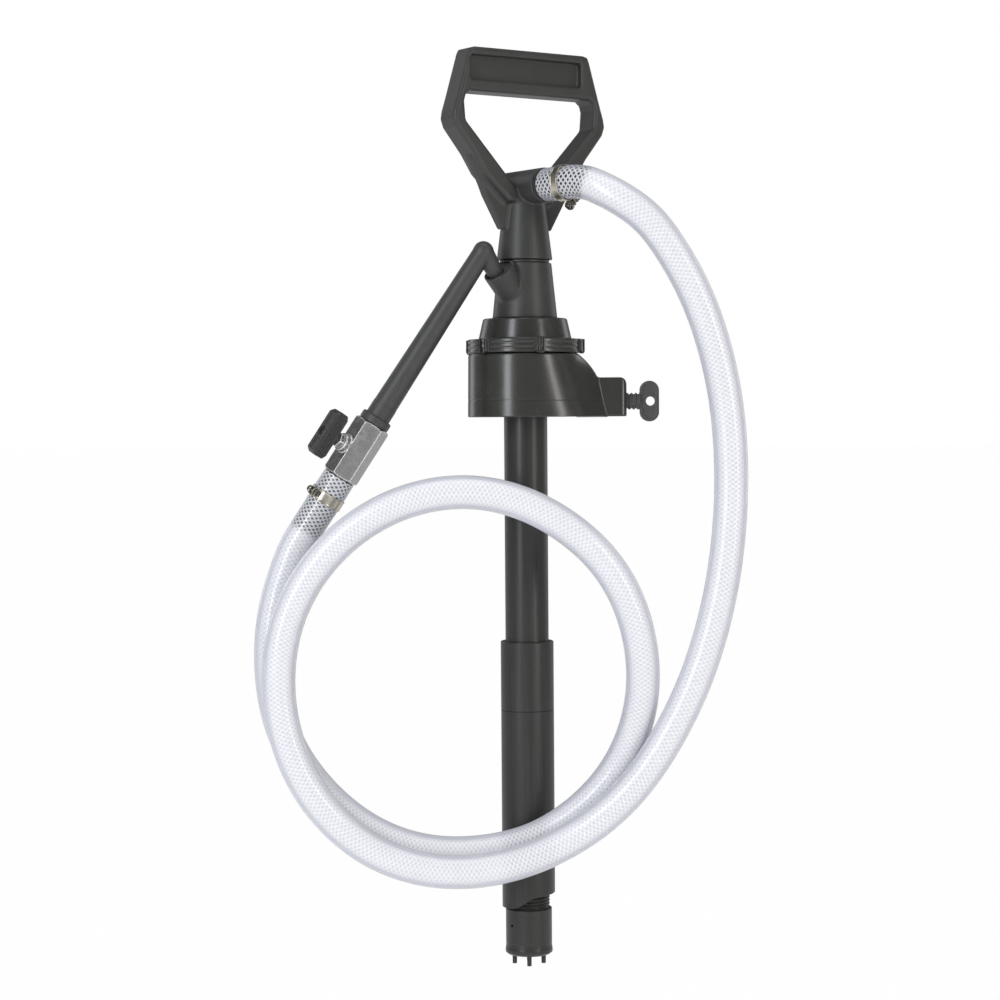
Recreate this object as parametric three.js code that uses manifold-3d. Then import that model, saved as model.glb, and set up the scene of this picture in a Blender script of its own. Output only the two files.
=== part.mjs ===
// Lift-action drum transfer pump, with telescopic suction tube, drum neck adapter, delivery hose, ball valve
// and bent delivery lance. Millimetres, +Z up. The origin is on the seat that rests on the drum neck's rim,
// inside the adapter, 40 mm to the -X side of the pump axis; +X points along the thumb screw and the hose
// coil hangs on the -Y side. The pieces are laid out about the pump axis, with z = 0 at the underside of the
// adapter's skirt, and the whole is then moved to the origin.
import * as THREE from "three";
import { mergeVertices } from "three/addons/utils/BufferGeometryUtils.js";
import Module from "manifold-3d";

const wasm = await Module();
wasm.setup();

// ---------------------------------------------------------------- shared dimensions
// In names, R is a radius, H a height, L a length, W a width, T a thickness.
const GAP = 0.3; // between neighbouring pieces
const RING_PLAY = 0.4; // between a seal and each side of its groove
const SEG = 20; // facets round the pump axis

const SEAT_R = 40; // radius of an 80 mm drum neck's rim
const SKIRT_H = 58, SKIRT_PLATE = 5;
const CYL_R = 20, CYL_TOP = 108;
const ROD_R = 11, ROD_TOP = 184, ROD_BOTTOM = -414;
const HOSE_R = 15, HOSE_BORE_R = 10.5;
const CUP_RIM = [-23.5, -25.5, 134.5]; // centre of the rim of the cup that holds the lance tip
const CUP_DIR = [-0.453, -0.423, 0.785]; // out of the cup

// ---------------------------------------------------------------- finishes
const FINISH = {
  satin: { color: 0x2c2c2b, roughness: 0.55, metalness: 0 },
  gloss: { color: 0x232322, roughness: 0.22, metalness: 0 },
  tube: { color: 0x333333, roughness: 0.5, metalness: 0 },
  nickel: { color: 0xb9b7b2, roughness: 0.22, metalness: 1 },
  steel: { color: 0xa9a69c, roughness: 0.3, metalness: 1 },
  rubber: { color: 0x151515, roughness: 0.8, metalness: 0 },
  white: { color: 0xe8e6df, roughness: 0.45, metalness: 0 },
  ball: { color: 0xc4c4c2, roughness: 0.15, metalness: 1 },
  hose: { color: 0xdfe4f0, roughness: 0.25, metalness: 0 },
};

// ---------------------------------------------------------------- frames
const move = (x, y, z) => new THREE.Matrix4().makeTranslation(x, y, z);
const turn = (axis, degrees) =>
  new THREE.Matrix4().makeRotationAxis(new THREE.Vector3(...axis), THREE.MathUtils.degToRad(degrees));
const turnZ = (degrees) => turn([0, 0, 1], degrees);
const times = (...matrices) => matrices.reduce((left, right) => left.clone().multiply(right));
const Z_TO_X = turn([0, 1, 0], 90);
const Z_TO_MINUS_Y = turn([1, 0, 0], 90);

// The frame at origin whose Z runs along direction, with X as close to xHint as it can be.
function frame(origin, direction, xHint) {
  const zAxis = new THREE.Vector3(...direction).normalize();
  const hint = new THREE.Vector3(...xHint);
  const xAxis = hint.sub(zAxis.clone().multiplyScalar(hint.dot(zAxis))).normalize();
  const yAxis = new THREE.Vector3().crossVectors(zAxis, xAxis);
  return new THREE.Matrix4().makeBasis(xAxis, yAxis, zAxis).setPosition(...origin);
}

// ---------------------------------------------------------------- solids
// A manifold from a closed geometry, whichever way its triangles face.
function solid(source, matrix) {
  let geometry = source.index ? source.toNonIndexed() : source.clone();
  geometry.deleteAttribute("normal");
  geometry.deleteAttribute("uv");
  if (matrix) geometry.applyMatrix4(matrix);
  geometry = mergeVertices(geometry, 1e-4);
  const vertProperties = new Float32Array(geometry.attributes.position.array);
  const merged = geometry.index.array;
  // leave out the triangles that merging has collapsed
  const triangles = [];
  for (let i = 0; i < merged.length; i += 3) {
    const [a, b, c] = merged.subarray(i, i + 3);
    if (a !== b && b !== c && a !== c) triangles.push(a, b, c);
  }
  const make = () =>
    new wasm.Manifold(
      new wasm.Mesh({ numProp: 3, vertProperties, triVerts: new Uint32Array(triangles) }),
    );
  const manifold = make();
  if (manifold.volume() >= 0) return manifold;
  for (let i = 0; i < triangles.length; i += 3)
    [triangles[i + 1], triangles[i + 2]] = [triangles[i + 2], triangles[i + 1]];
  return make();
}

const join = (first, ...rest) => rest.reduce((sum, shape) => sum.add(shape), first);
const cut = (first, ...rest) => rest.reduce((left, shape) => left.subtract(shape), first);

// A body of revolution about Z from [radius, z] pairs; a profile off the axis is closed on itself.
function lathe(profile, segments = SEG, matrix) {
  const points = profile.map(([radius, z]) => new THREE.Vector2(radius, z));
  if (profile[0][0] > 0) points.push(points[0].clone());
  const geometry = new THREE.LatheGeometry(points, segments);
  geometry.applyMatrix4(turn([1, 0, 0], 90)); // Y to Z
  return solid(geometry, matrix);
}

const cone = (lowR, low, highR, high, segments = 24, matrix) =>
  lathe([[0, low], [lowR, low], [highR, high], [0, high]], segments, matrix);
const rod = (radius, low, high, segments = 16, matrix) =>
  cone(radius, low, radius, high, segments, matrix);
const ring = (innerR, outerR, low, high, segments = SEG) =>
  lathe([[innerR, low], [outerR, low], [outerR, high], [innerR, high]], segments);
const sphere = (radius, around, down, matrix) =>
  solid(new THREE.SphereGeometry(radius, around, down), matrix);

function box(x0, x1, y0, y1, z0, z1, matrix = new THREE.Matrix4()) {
  const centre = move((x0 + x1) / 2, (y0 + y1) / 2, (z0 + z1) / 2);
  return solid(new THREE.BoxGeometry(x1 - x0, y1 - y0, z1 - z0), times(matrix, centre));
}

// A flat outline of [x, z] pairs, extruded along Y from y0 to y1.
function plate(points, y0, y1, matrix) {
  const shape = new THREE.Shape(points.map(([x, z]) => new THREE.Vector2(x, z)));
  const geometry = new THREE.ExtrudeGeometry(shape, { depth: y1 - y0, bevelEnabled: false });
  geometry.applyMatrix4(Z_TO_MINUS_Y);
  geometry.applyMatrix4(move(0, y1, 0));
  return solid(geometry, matrix);
}

const circle = (radius, sides, phase = 0) =>
  Array.from({ length: sides }, (_, i) => {
    const angle = ((i + phase) / sides) * 2 * Math.PI;
    return new THREE.Vector2(radius * Math.cos(angle), radius * Math.sin(angle));
  });

// A hexagonal prism about Z; a chamfer turns its end corners down.
function hexagon(flats, low, high, chamfer, matrix) {
  const cornerR = flats / 2 / Math.cos(Math.PI / 6);
  const shape = new THREE.Shape(circle(cornerR, 6, 0.5));
  const geometry = new THREE.ExtrudeGeometry(shape, { depth: high - low, bevelEnabled: false });
  geometry.applyMatrix4(move(0, 0, low));
  const prism = solid(geometry, matrix);
  if (!chamfer) return prism;
  const faceR = flats / 2 - chamfer, wideR = cornerR + 1;
  const drop = (wideR - faceR) * 0.5;
  const envelope = [
    [0, low - 1], [faceR, low - 1], [faceR, low], [wideR, low + drop],
    [wideR, high - drop], [faceR, high], [faceR, high + 1], [0, high + 1],
  ];
  return prism.intersect(lathe(envelope, 24, matrix));
}

// ---------------------------------------------------------------- scene
function group(parent, matrix) {
  const child = new THREE.Group();
  if (matrix) matrix.decompose(child.position, child.quaternion, child.scale);
  parent.add(child);
  return child;
}

function node(parent, name, shape, finish) {
  const { vertProperties, triVerts } = shape.getMesh();
  const geometry = new THREE.BufferGeometry();
  geometry.setAttribute("position", new THREE.BufferAttribute(new Float32Array(vertProperties), 3));
  geometry.setIndex(new THREE.BufferAttribute(new Uint32Array(triVerts), 1));
  geometry.computeVertexNormals();
  const material = new THREE.MeshStandardMaterial({ ...finish, flatShading: true });
  const mesh = new THREE.Mesh(geometry, material);
  mesh.name = name;
  parent.add(mesh);
  return mesh;
}

const part = new THREE.Group();
const pump = group(part);
pump.position.set(SEAT_R, 0, -(SKIRT_H - SKIRT_PLATE));

// ---------------------------------------------------------------- drum neck adapter
const SKIRT_R = 53.2, SKIRT_TOP_R = 52.6, SKIRT_IN_R = 49, SKIRT_SIDES = 40;
const COLLAR_R = 34, COLLAR_TOP = 72;
const LUG_X = 93.6, LUG_H = 36, LUG_W = 28;
const SCREW_Z = 13.9, SCREW_R = 7.8;
const WING_X0 = 105.5, WING_L = 17.8, WING_H = 37.6, WING_T = 8;
const COLLET_TOP = 76.2;
const NUT_Z0 = 58.9, NUT_Z1 = 71.5, NUT_R = 52.9, NUT_TAB_R = 55.2, NUT_TOP = 90.6;
const SCREW_AXIS = times(move(0, 0, SCREW_Z), Z_TO_X);

// The skirt's levels: [z, x of the lug root's corners, how far the circle is drawn in].
const SKIRT_LEVELS = [
  [0, 74, 0], [24, 68.4, 0], [36, 66.2, 0], [42, 63.2, 0], [49, 58, 0], [56.5, 51, 0],
  [SKIRT_H, 49, 1.2],
];

// One level's outline: a circle, with tangents running out on +X to the two corners of the lug root.
function skirtOutline(z, cornerX, inset) {
  const radius = SKIRT_R + ((SKIRT_TOP_R - SKIRT_R) * z) / SKIRT_H - inset;
  const cornerY = LUG_W / 2;
  const cornerR = Math.hypot(cornerX, cornerY);
  const cornerAngle = Math.atan2(cornerY, cornerX);
  const tangentAngle = cornerAngle + Math.acos(Math.min(1, radius / cornerR));
  const runX = radius * Math.cos(tangentAngle) - cornerX;
  const runY = radius * Math.sin(tangentAngle) - cornerY;
  const reach = (angle) => {
    if (cornerR <= radius || angle >= tangentAngle) return radius;
    if (angle <= cornerAngle) return Math.max(radius, cornerX / Math.cos(angle));
    const across = Math.cos(angle) * runY - Math.sin(angle) * runX;
    return Math.max(radius, (cornerX * runY - cornerY * runX) / across);
  };
  return Array.from({ length: SKIRT_SIDES }, (_, i) => {
    const angle = (i / SKIRT_SIDES) * 2 * Math.PI;
    const radial = reach(Math.min(angle, 2 * Math.PI - angle));
    return [radial * Math.cos(angle), radial * Math.sin(angle), z];
  });
}

function skirt() {
  const positions = SKIRT_LEVELS.flatMap((level) => skirtOutline(...level)).flat();
  const topStart = (SKIRT_LEVELS.length - 1) * SKIRT_SIDES;
  const bottomCentre = topStart + SKIRT_SIDES, topCentre = bottomCentre + 1;
  positions.push(0, 0, 0, 0, 0, SKIRT_H);
  const triangles = [];
  for (let i = 0; i < SKIRT_SIDES; i++) {
    const next = (i + 1) % SKIRT_SIDES;
    for (let start = 0; start < topStart; start += SKIRT_SIDES) {
      const above = start + SKIRT_SIDES;
      triangles.push(start + i, start + next, above + next);
      triangles.push(start + i, above + next, above + i);
    }
    triangles.push(bottomCentre, next, i, topCentre, topStart + i, topStart + next);
  }
  const geometry = new THREE.BufferGeometry();
  geometry.setAttribute("position", new THREE.BufferAttribute(new Float32Array(positions), 3));
  geometry.setIndex(triangles);
  return solid(geometry);
}

function neckClamp() {
  const lug = plate(
    [
      [56, 0], [LUG_X, 0], [LUG_X, LUG_H - 7], [LUG_X - 2, LUG_H - 2], [LUG_X - 7, LUG_H],
      [56, LUG_H],
    ],
    -LUG_W / 2, LUG_W / 2,
  );
  const ceiling = SKIRT_H - SKIRT_PLATE;
  const neckSpace = [[0, -1], [SKIRT_IN_R, -1], [SKIRT_IN_R - 0.4, ceiling], [0, ceiling]];
  // the hole for the cylinder, opening into the tapered seat for the collet
  const colletSeat = [
    [0, 50], [CYL_R + 1.2, 50], [CYL_R + 1.2, 60], [27.2, COLLAR_TOP], [27.2, COLLAR_TOP + 1],
    [0, COLLAR_TOP + 1],
  ];
  return cut(
    join(skirt(), lug, ring(COLLAR_R - 6.5, COLLAR_R, SKIRT_H - 1, COLLAR_TOP)),
    lathe(neckSpace, 32),
    lathe(colletSeat),
    rod(SCREW_R + 0.6, 40, LUG_X + 1, 24, SCREW_AXIS),
  );
}

// A tapered, flanged sleeve, slit on the +X side.
function tubeCollet() {
  const boreR = CYL_R + 0.35;
  const profile = [
    [boreR, 60.6], [21.1, 60.6], [26.6, COLLAR_TOP], [30.5, COLLAR_TOP + 0.4],
    [30.5, COLLET_TOP], [boreR, COLLET_TOP],
  ];
  return cut(lathe(profile), box(0, 40, -1.2, 1.2, 50, 90));
}

// A ring under a cone, with a pair of ribs every 60 degrees.
function ringNut() {
  const wideBoreR = COLLAR_R + 0.5, tightBoreR = CYL_R + 0.6, shoulder = COLLET_TOP + 0.4;
  let nut = lathe([
    [wideBoreR, NUT_Z0], [NUT_R, NUT_Z0], [NUT_R, NUT_Z1], [42.6, NUT_Z1],
    [38.6, NUT_TOP - 1], [37.6, NUT_TOP], [tightBoreR, NUT_TOP], [tightBoreR, shoulder],
    [wideBoreR, shoulder],
  ], 32);
  const firstPair = -75.7; // degrees from +X
  for (let k = 0; k < 6; k++)
    for (const offset of [-3.6, 3.6]) {
      const angle = firstPair + 60 * k + THREE.MathUtils.radToDeg(offset / NUT_R);
      const rib = box(NUT_R - 3, NUT_TAB_R, -1.4, 1.4, NUT_Z0 + 0.4, NUT_Z1 - 0.4, turnZ(angle));
      nut = nut.add(rib);
    }
  return nut;
}

// A disc inside the skirt, with a blind hole for the screw's nose.
function clampPad() {
  const profile = [[0, 40.5], [8.5, 40.5], [9.2, 41.2], [9.2, 44.2], [0, 44.2]];
  return cut(lathe(profile, 24, SCREW_AXIS), rod(4.4, 42.4, 46, 16, SCREW_AXIS));
}

function thumbScrew() {
  const endR = WING_L / 2, endZ = WING_H / 2 - endR;
  const outline = [];
  for (const side of [1, -1])
    for (let i = 0; i <= 10; i++) {
      const angle = (Math.PI * i) / 10;
      outline.push([side * endR * Math.cos(angle), side * (endZ + endR * Math.sin(angle))]);
    }
  const centre = move(WING_X0 + endR, 0, SCREW_Z);
  const across = (x, y, z) => times(centre, move(x, y, z), Z_TO_MINUS_Y);
  // a round dish on each face of both ends
  const dishes = [1, -1].map((face) =>
    join(...[1, -1].map((end) =>
      rod(endR - 2.2, -0.9, 0.9, 20, across(0, (face * WING_T) / 2, end * endZ)))));
  const wing = cut(
    plate(outline, -WING_T / 2, WING_T / 2, centre),
    ...dishes,
    rod(4.2, -10, 10, 16, across(0.9, 0, 0)),
  );
  const nose = rod(4, 42.8, 48, 16, SCREW_AXIS);
  return join(nose, rod(SCREW_R, 45, WING_X0 + 1, 24, SCREW_AXIS), wing);
}

const adapter = group(pump);
node(adapter, "neck_clamp", neckClamp(), FINISH.gloss);
node(adapter, "tube_collet", tubeCollet(), FINISH.white);
node(adapter, "ring_nut", ringNut(), FINISH.gloss);
node(adapter, "clamp_pad", clampPad(), FINISH.gloss);
node(adapter, "thumb_screw", thumbScrew(), FINISH.satin);

// ---------------------------------------------------------------- barrel: head and cylinder
const HEAD_Z0 = 91.1, HEAD_TOP = 141.6, HEAD_R0 = 29.9, HEAD_R1 = 24.7, CUP_R = 15.7;
const GLAND_R = 18.5, SEAL_BOTTOM = 127.3, SEAL_TOP = 132, BUSH_TOP = 136.6;
const ROD_GUIDE_R = ROD_R + 0.35;
const CYL_ID_R = 17.4, CYL_BOTTOM = -474, FOOT_THREAD_R = 19.45;

// A tapered head with a cup for the lance tip on its side.
function pumpHead() {
  const cup = frame(CUP_RIM, CUP_DIR, [0, 0, 1]);
  const cupOutside = [[0, -34], [9, -34], [13.2, -30], [CUP_R, 0], [0, 0]];
  const cupInside = [[0, -12], [12, -12], [13.4, 0.01], [13.4, 2], [0, 2]];
  return cut(
    join(cone(HEAD_R0, HEAD_Z0, HEAD_R1, HEAD_TOP, 32), lathe(cupOutside, 20, cup)),
    rod(CYL_R + 0.4, HEAD_Z0 - 1, CYL_TOP + GAP, SEG),
    rod(12.5, HEAD_Z0, 128, SEG),
    rod(18.9, SEAL_BOTTOM - GAP, HEAD_TOP + 1, SEG),
    rod(24.2, HEAD_TOP, HEAD_TOP + 8, SEG), // the cup's inner edge stops level with the head
    lathe(cupInside, 20, cup),
  );
}

function glandNut() {
  const low = BUSH_TOP + GAP, flange = HEAD_TOP + GAP;
  return lathe([
    [ROD_GUIDE_R, low], [18.4, low], [18.4, flange], [22.7, flange], [22.7, 143.7],
    [22.2, 144.1], [ROD_GUIDE_R, 144.1],
  ]);
}

// A tube thinned at its foot, with a small hole through its wall on the +X side.
function cylinder() {
  const tube = lathe([
    [CYL_ID_R, CYL_BOTTOM], [FOOT_THREAD_R, CYL_BOTTOM], [FOOT_THREAD_R, -444.2],
    [CYL_R, -443.6], [CYL_R, CYL_TOP], [CYL_ID_R, CYL_TOP],
  ]);
  return cut(tube, rod(1.8, 10, 30, 12, times(move(0, 0, -49), turn([0, 1, 0], 84))));
}

const barrel = group(pump);
node(barrel, "pump_head", pumpHead(), FINISH.satin);
node(barrel, "rod_seal", ring(ROD_GUIDE_R, GLAND_R, SEAL_BOTTOM, SEAL_TOP, 24), FINISH.rubber);
node(
  barrel, "rod_guide_bush",
  ring(ROD_GUIDE_R, GLAND_R, SEAL_TOP + GAP, BUSH_TOP, 24), FINISH.white,
);
node(barrel, "gland_nut", glandNut(), FINISH.satin);
node(barrel, "cylinder", cylinder(), FINISH.tube);

// ---------------------------------------------------------------- barrel: foot valve
const CAP_R = 21.5, CAP_TOP = -455.5, CAP_BOTTOM = -498.4;
const PIN_TIP = -510, PIN_R = 2.15, PIN_CIRCLE_R = 13.4;
const FOOT_SEAT_R = 19.3, FOOT_SEAT_BOTTOM = -481.3, FOOT_SEAT_TOP = -476.6;
const CAGE_R = 13.6; // outside of the posts and the stop ring
const FOOT_BALL_R = 9, FOOT_BALL_Z = -470.5;

function footValveCap() {
  let cap = lathe([
    [0, CAP_BOTTOM], [CAP_R - 3.2, CAP_BOTTOM], [CAP_R, CAP_BOTTOM + 2.6], [CAP_R, CAP_TOP],
    [0, CAP_TOP],
  ]);
  for (let k = 0; k < 4; k++) {
    const place = times(turnZ(90 * k), move(PIN_CIRCLE_R, 0, 0));
    cap = cap.add(rod(PIN_R, PIN_TIP, CAP_BOTTOM + 2, 8, place));
  }
  return cut(
    cap,
    rod(19.8, FOOT_SEAT_BOTTOM - GAP, CAP_TOP + 1, SEG),
    rod(16.5, -489, -481, SEG),
    rod(8, CAP_BOTTOM - 1, -488),
    // a small hole through the wall
    rod(1.25, 18, 24, 8, times(move(0, 0, -470), turnZ(-138.5), Z_TO_X)),
  );
}

// A seat with a three-post cage and a stop ring over the ball.
function footValveSeat() {
  let seat = ring(7, FOOT_SEAT_R, FOOT_SEAT_BOTTOM, FOOT_SEAT_TOP);
  for (let k = 0; k < 3; k++)
    seat = seat.add(box(10.2, CAGE_R, -2, 2, -477, -452, turnZ(120 * k + 30)));
  return seat.add(ring(4.5, CAGE_R, -454.4, -451.8, 24));
}

node(barrel, "foot_valve_cap", footValveCap(), FINISH.tube);
node(barrel, "foot_valve_seat", footValveSeat(), FINISH.white);
node(
  barrel, "foot_valve_oring",
  ring(17.5, FOOT_SEAT_R, FOOT_SEAT_TOP + GAP, CYL_BOTTOM - GAP), FINISH.rubber,
);
node(barrel, "foot_valve_ball", sphere(FOOT_BALL_R, 12, 8), FINISH.ball)
  .position.set(0, 0, FOOT_BALL_Z);

// ---------------------------------------------------------------- telescopic extension
const EXT_R = 24.5, EXT_ID_R = 22, EXT_TOP = -207, EXT_SEAM = -271;
const EXT_LOW = -454, EXT_CUT_HIGH = -443;
const EXT_GROOVE_BOTTOM = -252.6, EXT_GROOVE_TOP = -247.4;

function extensionCollar() {
  const boreR = CYL_R + 0.4, grooveR = 22.6, seam = EXT_SEAM + GAP / 2;
  return lathe([
    [boreR, EXT_TOP], [boreR, EXT_GROOVE_TOP], [grooveR, EXT_GROOVE_TOP],
    [grooveR, EXT_GROOVE_BOTTOM], [boreR, EXT_GROOVE_BOTTOM], [boreR, -262], [23.4, -262],
    [23.4, seam], [EXT_R, seam], [EXT_R, EXT_TOP - 1.5], [EXT_R - 1.5, EXT_TOP],
  ]);
}

// A tube whose foot is cut aslant, low on the -X side.
function extensionTube() {
  const seam = EXT_SEAM - GAP / 2;
  const tube = lathe([
    [EXT_ID_R, -456], [EXT_R, -456], [EXT_R, seam], [23.1, seam], [23.1, -262.4],
    [EXT_ID_R, -262.4],
  ]);
  const footCut = [
    [-30, -470], [-30, EXT_LOW], [-17, EXT_LOW + 0.6], [0, -447.6], [8, EXT_CUT_HIGH - 0.4],
    [30, EXT_CUT_HIGH + 1.2], [30, -470],
  ];
  return cut(tube, plate(footCut, -40, 40));
}

const extension = group(pump);
node(extension, "extension_collar", extensionCollar(), FINISH.tube);
node(
  extension, "extension_oring",
  ring(CYL_R + 0.3, 22.3, EXT_GROOVE_BOTTOM + RING_PLAY, EXT_GROOVE_TOP - RING_PLAY),
  FINISH.rubber,
);
node(extension, "extension_tube", extensionTube(), FINISH.tube);

// ---------------------------------------------------------------- plunger: handle
const HANDLE_YAW = 34; // degrees about +Z, from +X to the handle's width direction
const STEM_Z0 = 144.4, STEM_R0 = 25.6, STEM_R1 = 18.5;
const HUB_Z = 211, HUB_R = 16, HUB_BLIND = 28.7, HUB_OUTLET = 35; // from the axis to each hub end
const GRIP_TOP = 335, GRIP_BOTTOM = 294.6, FRAME_T = 26, WEB_T = 8.5;
const HUB_AXIS = times(move(0, 0, HUB_Z), Z_TO_MINUS_Y); // Z towards the outlet

// The +X halves of the D-shaped frame and of its hand opening, and the +X web: [x, z].
const FRAME_HALF = [
  [0, GRIP_TOP], [59.5, GRIP_TOP], [64.3, GRIP_TOP - 1.7], [66.6, GRIP_TOP - 6.2],
  [71.6, 313.7], [78.4, 291.3], [82.8, 277], [83.2, 269.5], [80.6, 261.9], [62.2, 238.4],
  [50.4, 221.3], [24, 197], [0, 195],
];
const OPENING_HALF = [
  [0, GRIP_BOTTOM], [65.6, GRIP_BOTTOM], [70.2, GRIP_BOTTOM - 4.2], [72.2, 285],
  [70.9, 269], [27.5, 222], [12, 205.5], [0, 205.5],
];
const WEB = [[10, 173], [27.3, 172], [43.5, 201], [51.3, 222.5], [59, 237.5], [44, 228], [10, 205]];
const GRIP_RECESS = [[-57, 305], [57, 305], [57, 327.6], [-57, 327.6]];

function handleShape() {
  const bothHalves = (half) => [
    ...half,
    ...half.map(([x, z]) => [-x, z]).reverse().slice(1, -1),
  ];
  const face = FRAME_T / 2;
  const web = (side) => plate(WEB.map(([x, z]) => [side * x, z]), -WEB_T / 2, WEB_T / 2);
  const hoop = cut(
    plate(bothHalves(FRAME_HALF), -face, face),
    plate(bothHalves(OPENING_HALF), -face - 1, face + 1),
  );
  return cut(
    join(
      hoop,
      web(1),
      web(-1),
      cone(STEM_R0, STEM_Z0, STEM_R1, 200, 32),
      rod(HUB_R, -HUB_BLIND, HUB_OUTLET, 32, HUB_AXIS),
    ),
    plate(GRIP_RECESS, -face - 1, -face + 7),
    plate(GRIP_RECESS, face - 7, face + 1),
    // rod socket and liquid passage
    rod(ROD_R + GAP, STEM_Z0 - 1, ROD_TOP + GAP, 24),
    rod(8, 180, HUB_Z, 24),
    // hub bore, wider where the hose tail enters
    rod(9, -12, 20, 24, HUB_AXIS),
    rod(12.3, 19, HUB_OUTLET + 1, 24, HUB_AXIS),
  );
}

// The outlet's barbed tail: [radius, distance along the hub axis].
const OUTLET_TAIL = [
  [6.8, 20.4], [11.9, 20.4], [11.9, HUB_OUTLET + GAP], [14.6, HUB_OUTLET + GAP], [14.6, 37.4],
  [8.5, 38], [9, 43.5], [8.5, 43.9], [8.8, 48.5], [8, 50.5], [6.8, 50.5],
];

const plunger = group(pump);
const handle = group(plunger, turnZ(HANDLE_YAW));
node(handle, "handle", handleShape(), FINISH.satin);
node(group(handle, HUB_AXIS), "outlet_hose_tail", lathe(OUTLET_TAIL, 16), FINISH.satin);

// ---------------------------------------------------------------- plunger: rod and piston
const ROD_BORE_R = 8;
const PISTON_R = 16.9, PISTON_TOP = -408, PISTON_BOTTOM = -440;
const SEAL_GROOVE_BOTTOM = -433.6, SEAL_GROOVE_TOP = -426.4;
const PISTON_BALL_R = 7.5, PISTON_BALL_Z = -432.9;

function pistonBody() {
  const grooveR = 15;
  const outside = lathe([
    [0, PISTON_BOTTOM], [PISTON_R, PISTON_BOTTOM], [PISTON_R, SEAL_GROOVE_BOTTOM],
    [grooveR, SEAL_GROOVE_BOTTOM], [grooveR, SEAL_GROOVE_TOP], [PISTON_R, SEAL_GROOVE_TOP],
    [PISTON_R, PISTON_TOP], [0, PISTON_TOP],
  ]);
  return cut(
    outside,
    rod(ROD_R + GAP, ROD_BOTTOM - GAP, PISTON_TOP + 1, 24),
    rod(12.2, PISTON_BOTTOM - 1, -418, 24),
    // a cross-shaped passage that the ball can't close
    box(-8.6, 8.6, -2, 2, -420, -413),
    box(-2, 2, -8.6, 8.6, -420, -413),
  );
}

const PISTON_VALVE_SEAT = [
  [5.5, -446], [16.4, -446], [16.4, PISTON_BOTTOM - GAP], [11.8, PISTON_BOTTOM - GAP],
  [11.8, -438.3], [5.5, -438.3],
];

node(plunger, "plunger_rod", ring(ROD_BORE_R, ROD_R, ROD_BOTTOM, ROD_TOP, 24), FINISH.white);
node(plunger, "piston_body", pistonBody(), FINISH.white);
node(
  plunger, "piston_seal",
  ring(15.4, 17.1, SEAL_GROOVE_BOTTOM + RING_PLAY, SEAL_GROOVE_TOP - RING_PLAY), FINISH.rubber,
);
node(plunger, "piston_valve_seat", lathe(PISTON_VALVE_SEAT), FINISH.white);
node(plunger, "piston_valve_ball", sphere(PISTON_BALL_R, 12, 8), FINISH.ball)
  .position.set(0, 0, PISTON_BALL_Z);

// ---------------------------------------------------------------- hose clamps
// A band round the parent's Z axis at height z, its bolted ears at an angle in degrees from local X.
function hoseClamp(parent, name, z, angle) {
  const halfW = 4.3, innerR = HOSE_R + 0.4, outerR = HOSE_R + 1.3;
  const earT = 1, boltX = 20.4;
  const across = times(move(boltX, 0, 0), Z_TO_MINUS_Y);
  const clamp = group(parent, times(move(0, 0, z), turnZ(angle)));

  let band = cut(
    ring(innerR, outerR, -halfW, halfW, 24),
    box(8, 20, -2, 2, -halfW - 1, halfW + 1),
  );
  const earX = Math.sqrt(innerR * innerR - 9) + 0.5;
  for (const earY of [1.9, -1.9 - earT])
    band = band.add(box(earX, 24.2, earY, earY + earT, -halfW + 0.4, halfW - 0.4));
  band = band.subtract(rod(2.1, -6, 6, 12, across));
  node(clamp, name + "_band", band, FINISH.steel);

  // bolt head on the +Y side, nut on the -Y side
  const bolt = join(rod(1.7, -5, 7.2, 12, across), rod(3.3, -5.4, -3.3, 12, across));
  node(clamp, name + "_bolt", bolt, FINISH.steel);
  const nut = cut(hexagon(5.8, 3.3, 6.2, 0, across), rod(2.05, 2, 8, 12, across));
  node(clamp, name + "_nut", nut, FINISH.steel);
}

// ---------------------------------------------------------------- lance
const VALVE_TOP = new THREE.Vector3(-139, -36, -5.4); // centre of the valve's upper end face
const LANCE_BEND = new THREE.Vector3(-37.7, -36, 150.5);
const LANCE_R0 = 11.6, LANCE_R1 = 8.6, LANCE_TIP_R = 7.3, LANCE_TIP_L = 29.5;
const LANCE_BEND_BORE_R = 5.4;

// A tapered pipe with a flanged root, bent over towards the cup on the pump head.
function lanceShape() {
  const length = LANCE_BEND.distanceTo(VALVE_TOP);
  const along = LANCE_BEND.clone().sub(VALVE_TOP);
  const straight = frame(VALVE_TOP, along, [0, -1, 0]);
  const intoCup = new THREE.Vector3(...CUP_DIR).normalize().negate();
  const tip = frame(LANCE_BEND, intoCup, [0, -1, 0]);
  const bend = move(...LANCE_BEND);
  const outside = [
    [0, -10.6], [12.2, -10.6], [12.2, 0.3], [14.5, 0.3], [14.5, 6.6], [13.6, 7.4],
    [LANCE_R0, 7.6], [LANCE_R1, length], [0, length],
  ];
  return cut(
    join(
      lathe(outside, 18, straight),
      sphere(LANCE_R1, 14, 8, bend),
      cone(LANCE_R1, 0, LANCE_TIP_R, LANCE_TIP_L, 16, tip),
    ),
    cone(7, -11, LANCE_BEND_BORE_R, length, 12, straight),
    sphere(LANCE_BEND_BORE_R, 10, 6, bend),
    cone(LANCE_BEND_BORE_R, 0, 5, LANCE_TIP_L + 1, 10, tip),
  );
}

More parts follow.
